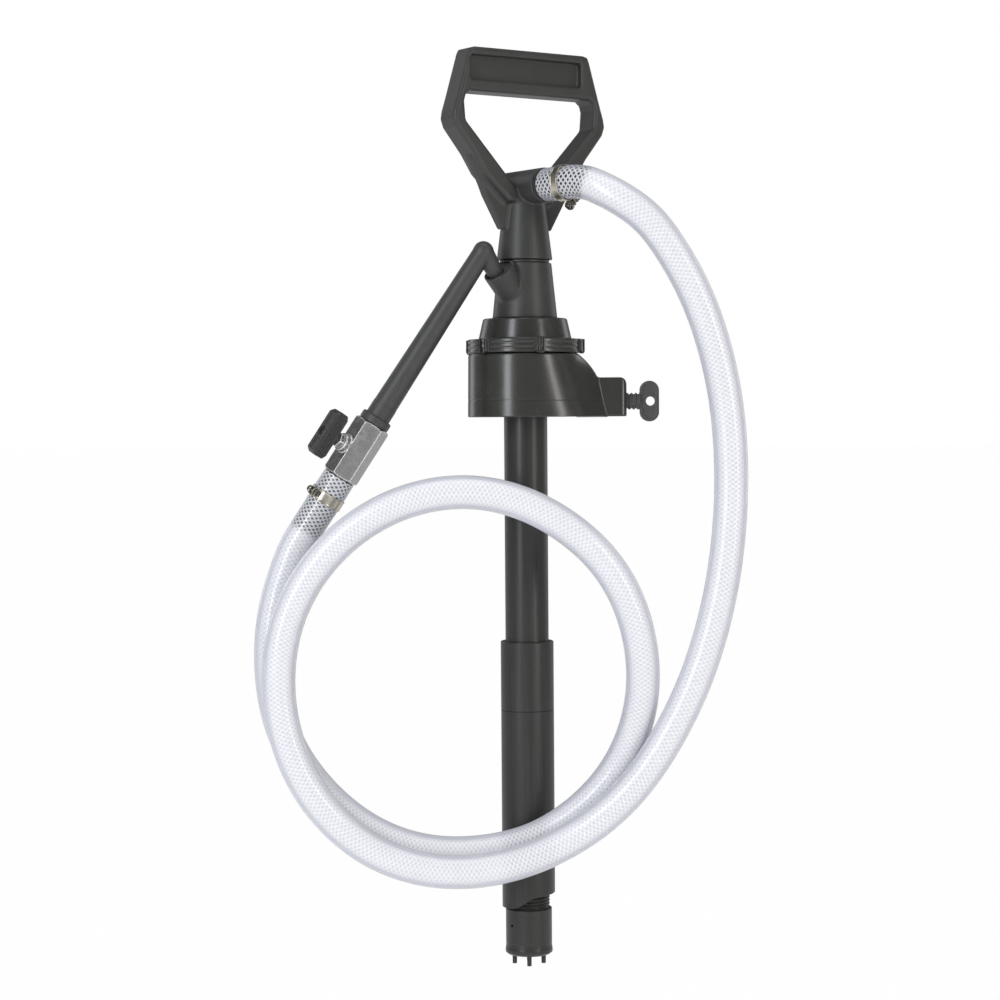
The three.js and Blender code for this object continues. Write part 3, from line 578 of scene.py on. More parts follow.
def drawn_pipe(name):
    """Black pipe with lines drawn along it and scuffs."""
    net = new_net(name)
    coords = net.coord()
    lines = net.noise(net.stretch(coords, (1.0, 1.0, 0.006)), scale=1500.0, detail=4.0, rough=0.6)
    cloud = net.noise(net.stretch(coords, (1.0, 1.0, 0.25)), scale=60.0, detail=4.0, rough=0.6)
    scuff = net.times(scratches(net, coords, ((0.0, 1.35, 0.2), 1000.0, 0.73)), 0.5)
    base = net.mix(cloud, (0.0165, 0.0165, 0.0154), (0.025, 0.025, 0.0236))
    pale_lines = net.times(net.remap(lines, span=(0.45, 0.7)), 0.25)
    base = net.mix(pale_lines, base, (0.065, 0.064, 0.06))
    base = net.mix(net.times(scuff, 0.12), base, (0.17, 0.17, 0.165))
    roughness = net.remap(lines, span=(0.3, 0.7), to=(0.29, 0.43))
    return net.surface(Base_Color=base, Roughness=roughness,
                       Normal=net.bump(lines, strength=0.10, depth=0.0002), IOR=1.46)


def turned_plastic(name):
    """Off-white plastic with fine lathe rings."""
    net = new_net(name)
    coords = net.coord()
    rings = net.noise(net.stretch(coords, (0.02, 0.02, 1.0)), scale=2600.0, detail=2.0, rough=0.5)
    cloud = net.noise(coords, scale=80.0, detail=3.0, rough=0.5)
    return net.surface(
        Base_Color=net.mix(cloud, (0.74, 0.725, 0.68), (0.83, 0.82, 0.78)),
        Roughness=net.remap(rings, span=(0.3, 0.7), to=(0.28, 0.44)),
        Normal=net.bump(rings, strength=0.10, depth=0.0001), IOR=1.48,
        Subsurface_Weight=0.15, Subsurface_Radius=(0.002, 0.0018, 0.0015), Subsurface_Scale=1.0)


def rubber(name):
    net = new_net(name)
    coords = net.coord()
    cloud = net.noise(coords, scale=300.0, detail=5.0, rough=0.6)
    return net.surface(
        Base_Color=net.mix(cloud, (0.014, 0.014, 0.014), (0.032, 0.032, 0.031)),
        Roughness=net.remap(cloud, span=(0.3, 0.7), to=(0.52, 0.72)),
        Normal=net.bump(net.noise(coords, scale=2200.0, detail=2.0), strength=0.15, depth=0.0001))


def metal(name, colour, rough, brush, drawn=(1.0, 1.0, 0.05), frost=0.0, edges=0.0):
    """Brushed metal. brush is the lines' noise scale, drawn how they are stretched, frost a
    cloudy dullness and edges how strongly a painted highlight brightens the rounded corners."""
    net = new_net(name)
    coords = net.coord()
    lines = net.noise(net.stretch(coords, drawn), scale=brush, detail=3.0, rough=0.65)
    cloud = net.noise(coords, scale=130.0, detail=5.0, rough=0.6)
    hair = scratches(net, coords, ((0.2, 0.9, 0.1), 1500.0, 0.70), ((0.9, 0.3, 1.2), 1300.0, 0.71))
    base = net.mix(cloud, shade(colour, 0.86), shade(colour, 1.08))
    base = net.mix(net.times(hair, 0.35), base, shade(colour, 0.6))
    lined = net.remap(lines, span=(0.3, 0.7), to=(rough - 0.06, rough + 0.08))
    frosted = net.times(net.remap(cloud, span=(0.42, 0.62)), frost)
    roughness = net.math("ADD", lined, frosted)
    if edges:
        # painted highlight: the rounded corners are painted near white, rougher and less metallic,
        # standing for light caught on the edges
        soft = net.node("ShaderNodeBevel", {"samples": 6}, Radius=0.0015).outputs[0]
        true = net.node("ShaderNodeNewGeometry").outputs["True Normal"]
        along = net.node("ShaderNodeVectorMath", {"operation": "DOT_PRODUCT"},
                         i0=soft, i1=true).outputs["Value"]
        painted_edge_highlight = net.times(net.remap(along, span=(0.955, 0.997), to=(1.0, 0.0)), edges)
        base = net.mix(painted_edge_highlight, base, (0.96, 0.955, 0.94))
        roughness = net.math("ADD", roughness, net.times(painted_edge_highlight, 0.16))
    normal = net.bump(lines, strength=0.14, depth=0.00012)
    dents = net.noise(coords, scale=420.0, detail=3.0, rough=0.6)
    normal = net.bump(dents, strength=0.10 + frost * 0.5, depth=0.0003, base=normal)
    metallic = net.math("SUBTRACT", 1.0, net.times(painted_edge_highlight, 0.8)) if edges else 1.0
    return net.surface(Base_Color=base, Metallic=metallic, Roughness=roughness, Normal=normal)


BRAID_LEAD = 0.0625  # metres along the hose for one turn of a strand
BRAID_CARRIERS = 15.0  # strands round the hose each way
# the clear wall's colour from face on to the rim, with a painted highlight band at 0.17 and
# painted shade in the bands towards the rim: (facing, colour); the two ends come first
WALL_PAINTED_SHADING = (
    (0.0, (0.83, 0.832, 0.860, 1)), (1.0, (0.90, 0.902, 0.925, 1)),
    (0.10, (0.83, 0.832, 0.87, 1)), (0.17, (0.95, 0.95, 0.965, 1)),
    (0.25, (0.755, 0.758, 0.815, 1)), (0.37, (0.560, 0.567, 0.658, 1)),
    (0.58, (0.62, 0.625, 0.690, 1)), (0.80, (0.785, 0.789, 0.83, 1)),
)


def braided_hose(name):
    """Clear soft tube with a white braid in its wall. UV: u is turns round the hose, v is
    length in metres. The attribute inner is how dark the inside shows: the dark parts in or
    behind the hose, and a painted shadow in the bore by the outlet end."""
    net = new_net(name)
    uv = net.node("ShaderNodeSeparateXYZ", Vector=net.coord("UV"))
    inner = net.node("ShaderNodeAttribute", {"attribute_name": "inner"}).outputs["Fac"]
    face = net.node("ShaderNodeLayerWeight", Blend=0.5).outputs["Facing"]
    waver = net.noise(net.coord("UV"), scale=60.0, detail=2.0)
    waver = net.times(net.math("SUBTRACT", waver, 0.5), 0.25)
    around = net.times(uv.outputs[0], BRAID_CARRIERS)
    along = net.times(uv.outputs[1], BRAID_CARRIERS / BRAID_LEAD)
    one_way = net.math("ADD", net.math("ADD", around, along), waver)
    other_way = net.math("ADD", net.math("SUBTRACT", around, along), waver)

    def strand(place, half, soft):
        offset = net.math("ABSOLUTE", net.math("SUBTRACT", net.math("FRACT", place), 0.5))
        return net.remap(offset, span=(half - soft, half + soft), to=(1.0, 0.0))

    thin = [strand(way, half=0.21, soft=0.07) for way in (one_way, other_way)]
    # the strand on top alternates from crossing to crossing
    crossing = net.math("ADD", net.math("FLOOR", one_way), net.math("FLOOR", other_way))
    over = net.math("GREATER_THAN", net.math("FRACT", net.times(crossing, 0.5)), 0.25)
    braid = net.math("MAXIMUM", *thin)
    wide = [strand(way, half=0.30, soft=0.10) for way in (one_way, other_way)]
    weave = net.math("MAXIMUM", *wide)
    # sheen: a painted highlight on the strand on top, painted shade on the strand beneath
    sheen = net.math("MAXIMUM",
                     net.times(wide[0], net.remap(over, span=(0, 1), to=(0.35, 1.0))),
                     net.times(wide[1], net.remap(over, span=(0, 1), to=(0.95, 0.30))))
    # the ramp by facing paints a highlight band and shaded edge bands on the clear wall
    wall = net.node("ShaderNodeValToRGB", Fac=face)
    elements = wall.color_ramp.elements
    for element, (position, colour) in zip(elements, WALL_PAINTED_SHADING[:2]):
        element.position, element.color = position, colour
    for position, colour in WALL_PAINTED_SHADING[2:]:
        elements.new(position).color = colour
    # the braid fades behind the thick wall at the edges
    show = net.remap(face, span=(0.15, 0.40), to=(1.0, 0.25))
    deep = net.remap(face, span=(0.35, 0.75), to=(1.0, 0.2))
    gap = net.mix(net.times(show, 0.80), wall.outputs[0], (0.57, 0.575, 0.655))
    fibre = net.noise(net.coord("UV"), scale=900.0, detail=1.0)
    thread = net.mix(fibre, (0.86, 0.86, 0.885), (0.95, 0.95, 0.96))
    lit = net.times(net.times(weave, show), net.remap(sheen, span=(0, 1), to=(0.15, 1.0)))
    light = net.mix(lit, gap, thread)
    dark_gap = net.mix(deep, (0.33, 0.34, 0.42), (0.012, 0.012, 0.016))
    dark_braid = net.times(braid, net.remap(deep, span=(0.1, 1.0), to=(0.35, 0.95)))
    dark = net.mix(dark_braid, dark_gap, (0.53, 0.535, 0.565))
    base = net.mix(inner, light, dark)
    height = net.times(braid, 1.0)
    ripple = net.noise(net.coord("UV"), scale=34.0, detail=3.0, rough=0.5)
    normal = net.bump(ripple, strength=0.10, depth=0.0014)
    normal = net.bump(height, strength=0.30, depth=0.0003, base=normal)
    net.surface(Base_Color=base, Normal=normal, IOR=1.50, Coat_Weight=0.5, Coat_Roughness=0.15,
                Roughness=net.remap(ripple, span=(0.35, 0.65), to=(0.20, 0.32)))
    through = net.mix(inner, (0.94, 0.945, 0.960), (0.05, 0.05, 0.06))
    soft = net.node("ShaderNodeBsdfTranslucent", Color=through)
    share = net.times(net.math("SUBTRACT", 1.0, inner), 0.22)
    net.add_shader(share, net.tree.nodes["Principled BSDF"], soft)
    return net.owner


# finish: (material, slot)
FINISHES = {
    "satin": (moulded("moulded_satin_black", colour=(0.034, 0.034, 0.0322), rough=0.42,
                      grain=0.22, ior=1.47), "satin_black"),
    "matte": (moulded("moulded_matte_black", colour=(0.043, 0.043, 0.0418), rough=0.47,
                      grain=0.16, ior=1.48), "satin_black"),
    # a lighter copy of the satin for the thumb screw's wing: painted light on its dished faces
    "painted_lit_satin": (moulded("painted_lit_satin_black", colour=(0.062, 0.062, 0.0585), rough=0.50,
                     grain=0.24, ior=1.47), "satin_black"),
    "lever": (moulded("lever_black", colour=(0.027, 0.027, 0.026), rough=0.33,
                      grain=0.10, ior=1.48), "satin_black"),
    "gloss": (moulded("moulded_gloss_black", colour=(0.026, 0.026, 0.0235), rough=0.26,
                      grain=0.03, ior=1.50, coat=0.15), "gloss_black"),
    "pipe": (drawn_pipe("pipe_black"), "tube_black"),
    "white": (turned_plastic("natural_acetal"), "white_acetal"),
    "rubber": (rubber("seal_rubber"), "black_rubber"),
    "ball": (metal("polished_steel", colour=(0.72, 0.72, 0.72), rough=0.12, brush=900.0),
             "steel_ball"),
    "steel": (metal("stainless_strip", colour=(0.56, 0.52, 0.44), rough=0.28, brush=1600.0),
              "stainless"),
    "screw": (metal("dull_zinc_screw", colour=(0.30, 0.29, 0.265), rough=0.24, brush=1500.0),
              "stainless"),
    "oxide": (metal("blackened_screw", colour=(0.10, 0.10, 0.098), rough=0.32, brush=1500.0),
              "stainless"),
    "nickel": (metal("nickel_plate", colour=(0.385, 0.383, 0.376), rough=0.22, brush=1400.0,
                     drawn=(1.0, 1.0, 0.08), frost=0.17, edges=1.0), "nickel"),
    "hose": (braided_hose("clear_braided_hose"), "clear_braided_hose"),
}

# ---------------------------------------------------------------- neck clamp
# (height, how far the skirt reaches along X towards the lug)
SKIRT_REACH = np.array([
    [-2, 74.6], [0, 74.0], [12, 70.9], [24, 68.4], [31, 67.0], [36, 66.1], [39, 64.9],
    [42, 63.0], [45.5, 60.6], [49, 57.8], [53, 54.0], [57, 49.6], [60, 46],
])


def neck_clamp():
    heights = np.linspace(-2, 60, 249)
    reach = smoothed(np.interp(heights, SKIRT_REACH[:, 0], SKIRT_REACH[:, 1]),
                     np.exp(-0.5 * (np.arange(-12, 13) / 5.0) ** 2))
    hollow = revolved([(0, -5), (49.3, -5), (49.0, 0.0), (48.6, SEAT_Z, 2.2), (0, SEAT_Z)])
    seat = revolved([(0, 48), (21.2, 48), (21.2, 60), (27.2, 72), (27.2, 75), (0, 75)])
    collar = revolved([(26, 56), (34.0, 56), (34.0, 72.0), (26, 72.0)], 0.5)
    lug_side = outline([(40, 0), (LUG_X, 0, 0.8), (LUG_X, LUG_HEIGHT, 7.0), (40, LUG_HEIGHT)],
                       steps=8)
    lug_plan = outline([(30, -LUG_HALF), (LUG_X, -LUG_HALF, 7.0), (LUG_X, LUG_HALF, 7.0),
                        (30, LUG_HALF)], steps=8)

    def field(points):
        x, y, z = points.T
        # the skirt's plan draws out towards the lug, most at the foot
        draw = np.where(x > 0, 1 + 0.35 * np.clip(1 - z / SKIRT_HEIGHT, 0, 1), 1.0)
        drawn_x = x / draw
        radius = SKIRT_R - 0.6 * z / SKIRT_HEIGHT
        circle = np.hypot(drawn_x, y) - radius
        tip = np.interp(z, heights, reach) / draw
        # the two tangents from the lug root's corners to the circle
        far = np.hypot(tip, LUG_HALF)
        turn = np.arctan2(LUG_HALF, tip) + np.arccos(np.clip(radius / far, -1, 1))
        tangent = (drawn_x * np.cos(turn) + np.abs(y) * np.sin(turn)) - radius
        beyond = np.abs(y) * np.cos(turn) - drawn_x * np.sin(turn)
        wedge = np.where(far > radius, np.maximum(tangent, beyond), 50.0)
        skirt = np.minimum(circle, wedge)
        skirt = np.where(x < 30, skirt, meet(skirt, (drawn_x - tip) * draw, 1.2))
        skirt = meet(meet(skirt, z - SKIRT_HEIGHT, 2.2), -z, 0.9)
        # the mould's parting line
        skirt = skirt + 0.28 * np.exp(-((z - 15.3) / 0.42) ** 2) * (drawn_x < tip - 1)
        lug = meet(slab(lug_side(x, z), y, LUG_HALF, 2.0), lug_plan(x, y), 2.0)
        shape = join(join(skirt, lug, 2.4), collar(points), 1.0)
        shape = cut(shape, hollow(points), 0.8)
        shape = cut(shape, seat(points), 0.6)
        screw_hole = np.maximum(radial(SCREW.local(points)) - 8.4, 40 - x)
        return cut(shape, screw_hole, 0.9)

    return field


solid("neck_clamp", "shell", "adapter", "gloss", neck_clamp(), (-55, -55, -1), (95, 55, 73), 0.95)


def ring_nut():
    body = revolved([
        (34.5, 58.9, 0.4), (52.9, 58.9, 0.9), (52.9, 71.5, 0.9), (43.0, 71.5, 1.6),
        (38.9, 89.6, 1.0), (37.7, 90.6, 0.8), (20.6, 90.6, 0.5), (20.6, 76.6, 0.5),
        (34.5, 76.6, 0.5),
    ])

    def field(points):
        z = points[:, 2]
        shape = body(points)
        # six tabs of two bars each; along runs round the rim from the nearest tab's middle
        angle = np.degrees(np.arctan2(points[:, 1], points[:, 0])) + 90 - 14.3
        angle = (angle + 30) % 60 - 30
        along = np.radians(angle) * 54.0
        rho = radial(points)
        # two grooves round the rim
        grooves = np.exp(-((z - 63.0) / 0.85) ** 2) + np.exp(-((z - 67.4) / 0.85) ** 2)
        shape = shape + 0.42 * np.clip(rho - 50, 0, 1) * grooves
        bars = np.maximum(np.maximum(np.abs(np.abs(along) - 3.9) - 1.2, rho - 55.7),
                          np.maximum(50 - rho, np.abs(z - 65.4) - 5.9))
        foot = np.maximum(np.hypot(along / 1.15, np.maximum(61.5 - z, 0) * 1.2) - 4.4,
                          np.maximum(np.abs(rho - 53.9) - 1.5, z - 64))
        shape = join(join(shape, bars, 0.7), foot, 0.5)
        # shallow scallop between the two bars
        scallop = np.hypot(along, rho - 54.6)
        return cut(shape, disc(scallop, 2.5, z - 66.0, 6.4), 0.5)

    return field


solid("ring_nut", "body", "ring_nut", "gloss", ring_nut(), (-56.5, -56.5, 58),
      (56.5, 56.5, 91.2), 0.66)
turned("tube_collet", "sleeve", "adapter", "white",
       [(COLLET_R, 60.6), (21.1, 60.6), (26.6, 72), (30.5, 72.4), (30.5, 76.2),
        (COLLET_R, 76.2)])
turned("clamp_pad", "disc", "clamp_pad", "gloss",
       [(0, 40.5), (8.6, 40.5), (9.2, 41.2), (9.2, 44.2), (4.4, 44.2), (4.4, 42.4), (0, 42.4)],
       at=SCREW, edge=0.3, segments=64)

WING_END_R, WING_HALF, WING_START = 8.9, 18.8, 105.5  # the wing's foot is WING_START along


def thumb_screw(points):
    """Local: z along the screw, x down, y across the wing's thickness."""
    x, y, z = points.T
    rho = np.hypot(x, y)
    turns = np.arctan2(y, x) / (2 * math.pi)
    wave = triangle_wave((z / 4.0) + turns)
    crest = 6.55 + 1.25 * np.clip(1.55 * wave - 0.28, 0, 1)
    crest = np.where(z < 47, np.minimum(crest, 6.3 + (z - 45) * 0.4), crest)
    thread = np.maximum((rho - crest) * 0.72, np.maximum(45.0 - z, z - 107.0))
    tip = np.maximum(rho - 4.0, np.maximum(42.8 - z, z - 48))
    shape = np.minimum(thread, tip)
    wing_z = z - (WING_START + WING_END_R)
    side = np.hypot(np.maximum(np.abs(x) - (WING_HALF - WING_END_R), 0), wing_z) - WING_END_R
    wing = slab(side, y, 4.0, 1.5)
    dish = slab(side + 3.0, np.abs(y) - 4.6, 1.35, 0.9)
    wing = cut(wing, dish, 1.0)
    wing = join(wing, disc(np.hypot(x, wing_z), 6.6, y, 3.9), 2.2)
    shape = join(shape, wing, 1.2)
    hole = np.hypot(x, z - (WING_START + WING_END_R + 0.9)) - 4.2
    return cut(shape, hole, 0.9)


solid("thumb_screw", "wing", "thumb_screw", "painted_lit_satin", thumb_screw, (-19, -8, 42), (19, 8, 124),
      0.5, at=SCREW)


# ---------------------------------------------------------------- pump head
def pump_head():
    cone = revolved([(0, 91.1), (29.9, 91.1, 0.7), (24.7, 141.6, 0.9), (0, 141.6)])
    cup_outside = revolved([(0, -34), (9, -34, 4.0), (13.4, -29.5, 6.0), (15.7, 0, 0.9), (0, 0)])
    cup_inside = revolved([(0, -1.1), (13.1, -1.1, 0.8), (13.7, 0.3), (13.7, 9), (0, 9)])

    def field(points):
        rho = radial(points)
        z = points[:, 2]
        cup = CUP.local(points)
        shape = join(cone(points), cup_outside(cup), 1.6)
        shape = cut(shape, np.maximum(rho - 24.4, 141.6 - z), 0.3)
        shape = cut(shape, cup_inside(cup), 1.0)
        # the socket for the lance's tip
        shape = cut(shape, disc(radial(TIP.local(points)), 7.95, cup[:, 2] + 3.4, 3.5), 0.4)
        shape = cut(shape, np.maximum(rho - 20.4, z - 108.3))
        shape = cut(shape, disc(rho, 12.5, z - 115, 14))
        return cut(shape, np.maximum(rho - 18.9, 127 - z), 0.5)

    return field


solid("pump_head", "cone", "barrel", "satin", pump_head(), (-42, -44, 91), (31, 31, 144), 0.7)
turned("gland_nut", "ring", "barrel", "satin",
       [(ROD_CLEAR_R, 136.9), (18.4, 136.9), (18.4, 141.9), (22.7, 141.9), (22.7, 143.8),
        (22.2, 144.2), (ROD_CLEAR_R, 144.2)], edge=0.35)


def ring(cad, body, finish, bore, radius, low, high, edge, at=HOME):
    """A plain ring of rectangular section."""
    turned(cad, "ring", body, finish,
           [(bore, low), (radius, low), (radius, high), (bore, high)], edge=edge, at=at)


ring("rod_seal", "barrel", "rubber", ROD_CLEAR_R, 18.5, 127.3, 132.0, edge=0.6)
ring("rod_guide_bush", "barrel", "white", ROD_CLEAR_R, 18.5, 132.3, 136.6, edge=0.4)

# ---------------------------------------------------------------- pipes
PIPE_SEGMENTS = 128
PIPE_THETA = np.arange(PIPE_SEGMENTS) / PIPE_SEGMENTS * 2 * math.pi
PIPE_EDGE = 0.5  # chamfer at the pipes' ends


def smooth_below(mesh, degrees):
    mesh.set_sharp_from_angle(angle=math.radians(degrees))


def pipe(cad, radius, height, bore):
    """A pipe. radius and height give its outside, ring by ring from the bottom up."""
    shape = (len(height), PIPE_SEGMENTS)
    radius, height = np.broadcast_to(radius, shape), np.broadcast_to(height, shape)
    mouth = bore + PIPE_EDGE
    inside = [np.full(PIPE_SEGMENTS, inner_r) for inner_r in (mouth, bore, bore, mouth)]
    radius = np.vstack([radius, *inside])
    height = np.vstack([height, height[-1], height[-1] - PIPE_EDGE, height[0] + PIPE_EDGE,
                        height[0]])
    points = np.stack([radius * np.cos(PIPE_THETA), radius * np.sin(PIPE_THETA), height], 2)
    rings = np.arange(len(height))
    faces = band_faces(rings, (rings + 1) % len(rings), PIPE_SEGMENTS)
    body = "barrel" if cad == "cylinder" else "extension"
    piece = put(f"{cad}_pipe", cad, body, "pipe", points.reshape(-1, 3), faces.tolist())
    smooth_below(piece.data, 50)
    return piece


def cylinder_radius(theta, z):
    """The cylinder's outside: a thread at the foot, plain above."""
    from_end = np.minimum(z - CYLINDER_FOOT, CYLINDER_TOP - z)
    wave = triangle_wave(z / 3.0 - theta / (2 * math.pi))
    thread = 19.5 - 1.5 * np.clip(1.5 * wave - 0.25, 0, 1)
    runout = np.clip((z + 444.6) / 1.4, 0, 1)
    radius = np.where(z < -443.2, thread * (1 - runout) + CYLINDER_R * runout, CYLINDER_R)
    return radius - np.clip(PIPE_EDGE - from_end, 0, PIPE_EDGE)


def cylinder():
    top_edge = CYLINDER_TOP - PIPE_EDGE
    # rings 0.3 apart over the thread, then 26 apart
    heights = np.concatenate([
        [CYLINDER_FOOT], np.linspace(CYLINDER_FOOT + PIPE_EDGE, -442.0, 106),
        np.arange(-416.0, top_edge, 26.0), [top_edge, CYLINDER_TOP],
    ])[:, None]
    piece = pipe("cylinder", cylinder_radius(PIPE_THETA, heights), heights, CYLINDER_BORE)
    cut_vent(piece)


def cut_vent(piece):
    """Cuts the vent hole through one wall, on the +X side."""
    radius, segments = 1.85, 24
    angle = math.radians(84)
    at = Place((0, 0, -49), (math.sin(angle), 0, math.cos(angle)), (0, 1, 0))
    theta = np.arange(segments) / segments * 2 * math.pi
    circle = [(radius * math.cos(turn), radius * math.sin(turn)) for turn in theta]
    points = at.world([(x, y, z) for z in (12.0, 26.0) for x, y in circle])
    faces = [tuple(range(segments - 1, -1, -1)), tuple(range(segments, 2 * segments))]
    for i in range(segments):
        j = (i + 1) % segments
        faces.append((i, j, segments + j, segments + i))
    mesh = bpy.data.meshes.new("vent_cutter")
    mesh.from_pydata(metres(points).tolist(), [], faces)
    cutter = bpy.data.objects.new("vent_cutter", mesh)
    bpy.context.scene.collection.objects.link(cutter)
    boolean = piece.modifiers.new("vent", "BOOLEAN")
    boolean.operation, boolean.object, boolean.solver = "DIFFERENCE", cutter, "EXACT"
    bpy.context.view_layer.update()
    graph = bpy.context.evaluated_depsgraph_get()
    result = bpy.data.meshes.new_from_object(piece.evaluated_get(graph))
    piece.modifiers.clear()
    piece.data = result
    result.polygons.foreach_set("use_smooth", np.ones(len(result.polygons), bool))
    smooth_below(result, 50)
    bpy.data.objects.remove(cutter)


def extension_tube():
    """The outer tube; its foot is cut on a slant that rises towards +X."""
    heights = np.concatenate([[-454.0, -453.6], np.linspace(-450, -425, 10),
                              np.linspace(-400, -271.6, 6), [-271.15]])[:, None]
    x = EXTENSION_R * np.cos(PIPE_THETA)
    rise = 0.03 * (x + EXTENSION_R) + 10.2 * ease(np.clip((x + 16.0) / 24.0, 0, 1))
    rise = rise + 1.6 * np.clip((x - 8) / 16.5, 0, 1)
    # only the lowest rings follow the slant
    share = np.clip((heights + 425.0) / (-454.0 + 425.0), 0, 1)
    pipe("extension_tube", EXTENSION_R, heights + share * rise, EXTENSION_BORE)


cylinder()
turned("extension_collar", "pipe", "extension", "pipe",
       [(20.4, -262), (23.4, -262), (23.4, -270.85), (EXTENSION_R, -270.85, 0.35),
        (EXTENSION_R, -207, 1.5), (20.4, -207, 0.8), (20.4, -247.4), (22.6, -247.4),
        (22.6, -252.6), (20.4, -252.6)], edge=0.2, segments=128)
ring("extension_oring", "extension", "rubber", 20.3, 22.3, -252.2, -247.8, edge=0.9)
extension_tube()


# ---------------------------------------------------------------- foot valve
def foot_cap():
    body = revolved([(0, -498.4), (19.4, -498.4, 1.0), (21.9, -496.4, 0.9), (21.9, -493.6, 1.0),
                     (21.4, -490.5, 3.0), (21.4, -455.5, 0.7), (0, -455.5)])
    side_turn = math.radians(-138.5)
    side_x, side_y = math.cos(side_turn), math.sin(side_turn)

    def field(points):
        x, y, z = points.T
        rho = np.hypot(x, y)
        shape = body(points)
        # four pins under the cap
        angle = np.arctan2(y, x)
        nearest = np.round(angle / (math.pi / 2)) * (math.pi / 2)
        pin_x, pin_y = x - 13.4 * np.cos(nearest), y - 13.4 * np.sin(nearest)
        pin = np.hypot(pin_x, pin_y) - (2.2 - 0.015 * np.clip(-z - 498, 0, 12))
        shape = join(shape, slab(pin, z + 501.5, 8.5, 0.6), 0.9)
        bore = 19.9 - 0.3 * triangle_wave(z / 3.0 - angle / (2 * math.pi))
        shape = cut(shape, np.maximum(rho - bore, -481.6 - z))
        shape = cut(shape, np.maximum(rho - 16.5, -489 - z), 0.4)
        shape = cut(shape, rho - 8.0, 0.5)
        # a small hole through the side
        hole = np.hypot(-x * side_y + y * side_x, z + 470) - 1.3
        shape = cut(shape, np.maximum(hole, 10 - (x * side_x + y * side_y)), 0.4)
        # a faint turned line above the chamfer
        return shape + 0.2 * np.exp(-((z + 488.6) / 0.5) ** 2) * (rho > 18)

    return field


def foot_seat():
    base = revolved([(7.0, -481.3), (19.3, -481.3), (19.3, -476.6), (10.0, -476.6),
                     (7.0, -478.6)], 0.3)
    stop = revolved([(4.5, -454.4), (13.6, -454.4), (13.6, -451.8), (4.5, -451.8)], 0.5)
    third = 2 * math.pi / 3

    def field(points):
        x, y, z = points.T
        shape = np.minimum(base(points), stop(points))
        # three posts between the two rings
        angle = np.arctan2(y, x) - math.radians(30)
        nearest = np.round(angle / third) * third + math.radians(30)
        out = x * np.cos(nearest) + y * np.sin(nearest)
        aside = -x * np.sin(nearest) + y * np.cos(nearest)
        post = np.maximum(np.abs(out - 11.9) - 1.7, np.abs(aside) - 2.0)
        return join(shape, np.maximum(post, np.abs(z + 464.5) - 12.5), 0.6)

    return field


def ball(cad, radius, height):
    turns = np.linspace(0, math.pi, 40)[1:-1]
    arc = [(radius * math.sin(turn), -radius * math.cos(turn)) for turn in turns]
    turned(cad, "sphere", cad, "ball", [(0, -radius), *arc, (0, radius)],
           at=Place((0, 0, height)), edge=0, segments=72)


solid("foot_valve_cap", "body", "barrel", "pipe", foot_cap(), (-22, -22, -507.2),
      (22, 22, -455), 0.6)
solid("foot_valve_seat", "cage", "barrel", "white", foot_seat(), (-20, -20, -482),
      (20, 20, -451), 0.8)
ring("foot_valve_oring", "barrel", "rubber", 17.5, 19.3, -476.3, -474.3, edge=0.85)
ball("foot_valve_ball", 9.0, -470.5)
ball("piston_valve_ball", 7.5, -432.9)


# ---------------------------------------------------------------- plunger
def handle():
    """One side of each outline is given; the other mirrors it. across runs along the grip."""
    cosine, sine = ACROSS[:2]
    grip_half, web_half = 13.0, 4.25
    outside = outline([
        (-30, 335.0), (60.0, 335.0, 3), (64.8, 333.8, 2.5), (67.0, 329.0, 4), (71.6, 313.7, 8),
        (78.4, 291.3, 8), (83.0, 277.0, 4), (84.2, 270.0, 5), (81.4, 262.0, 7),
        (62.2, 238.4, 8), (51.2, 221.3, 8), (24.0, 197.0, 3), (0, 195.0), (-30, 195),
    ])
    opening = outline([
        (-30, 294.6), (66.0, 294.6, 4), (70.6, 290.8, 3), (72.2, 285.0, 3), (70.8, 268.2, 7),
        (27.5, 222.0), (12.0, 205.5), (-30, 205.5),
    ])
    web = outline([
        (10, 172.5), (27.5, 172.0, 1.5), (45.0, 202.0, 3), (54.5, 224.0, 3), (63.5, 243.5, 3),
        (46, 232, 3), (10, 205),
    ])
    recess = outline([(-66, 305), (57, 305), (57, 327.6), (-66, 327.6)], 3.0)
    cone_r, cone_top_r, cone_z, cone_top_z = 25.7, 18.3, 144.4, 204.0
    slope = (cone_top_r - cone_r) / (cone_top_z - cone_z)
    lean = 1 / math.sqrt(1 + slope * slope)

    def field(points):
        across = points[:, 0] * cosine + points[:, 1] * sine
        depth = -points[:, 0] * sine + points[:, 1] * cosine
        z = points[:, 2]
        mirrored = np.abs(across)
        shape = slab(cut(outside(mirrored, z), opening(mirrored, z), 0.6), depth, grip_half, 3.6)
        cavity = slab(recess(across, z), np.abs(depth) - (grip_half + 3.0), 10.0, 1.2)
        shape = cut(shape, cavity, 2.2)
        shape = join(shape, slab(web(mirrored, z), depth, web_half, 1.4), 6.0)
        rho = np.hypot(across, depth)
        side = (rho - (cone_r + slope * (z - cone_z))) * lean
        cone = np.maximum(side, np.maximum(cone_z - z, z - cone_top_z))
        cone = meet(cone, z - 201, 4.0)
        from_hub = np.hypot(across, z - HUB_Z)
        hub = slab(from_hub - 15.9, depth + 3.15, 31.85, 1.3)
        shape = join(join(shape, cone, 2.4), hub, 2.2)
        shape = meet(shape, cone_z - z, 0.9)
        shape = cut(shape, np.maximum(rho - 11.3, z - 184.3))
        shape = cut(shape, disc(rho, 8.0, z - 195, 16))
        shape = cut(shape, disc(from_hub, 9.0, depth + 4, 16))
        return cut(shape, np.maximum(from_hub - 12.3, depth + 19.0), 0.5)

    return field


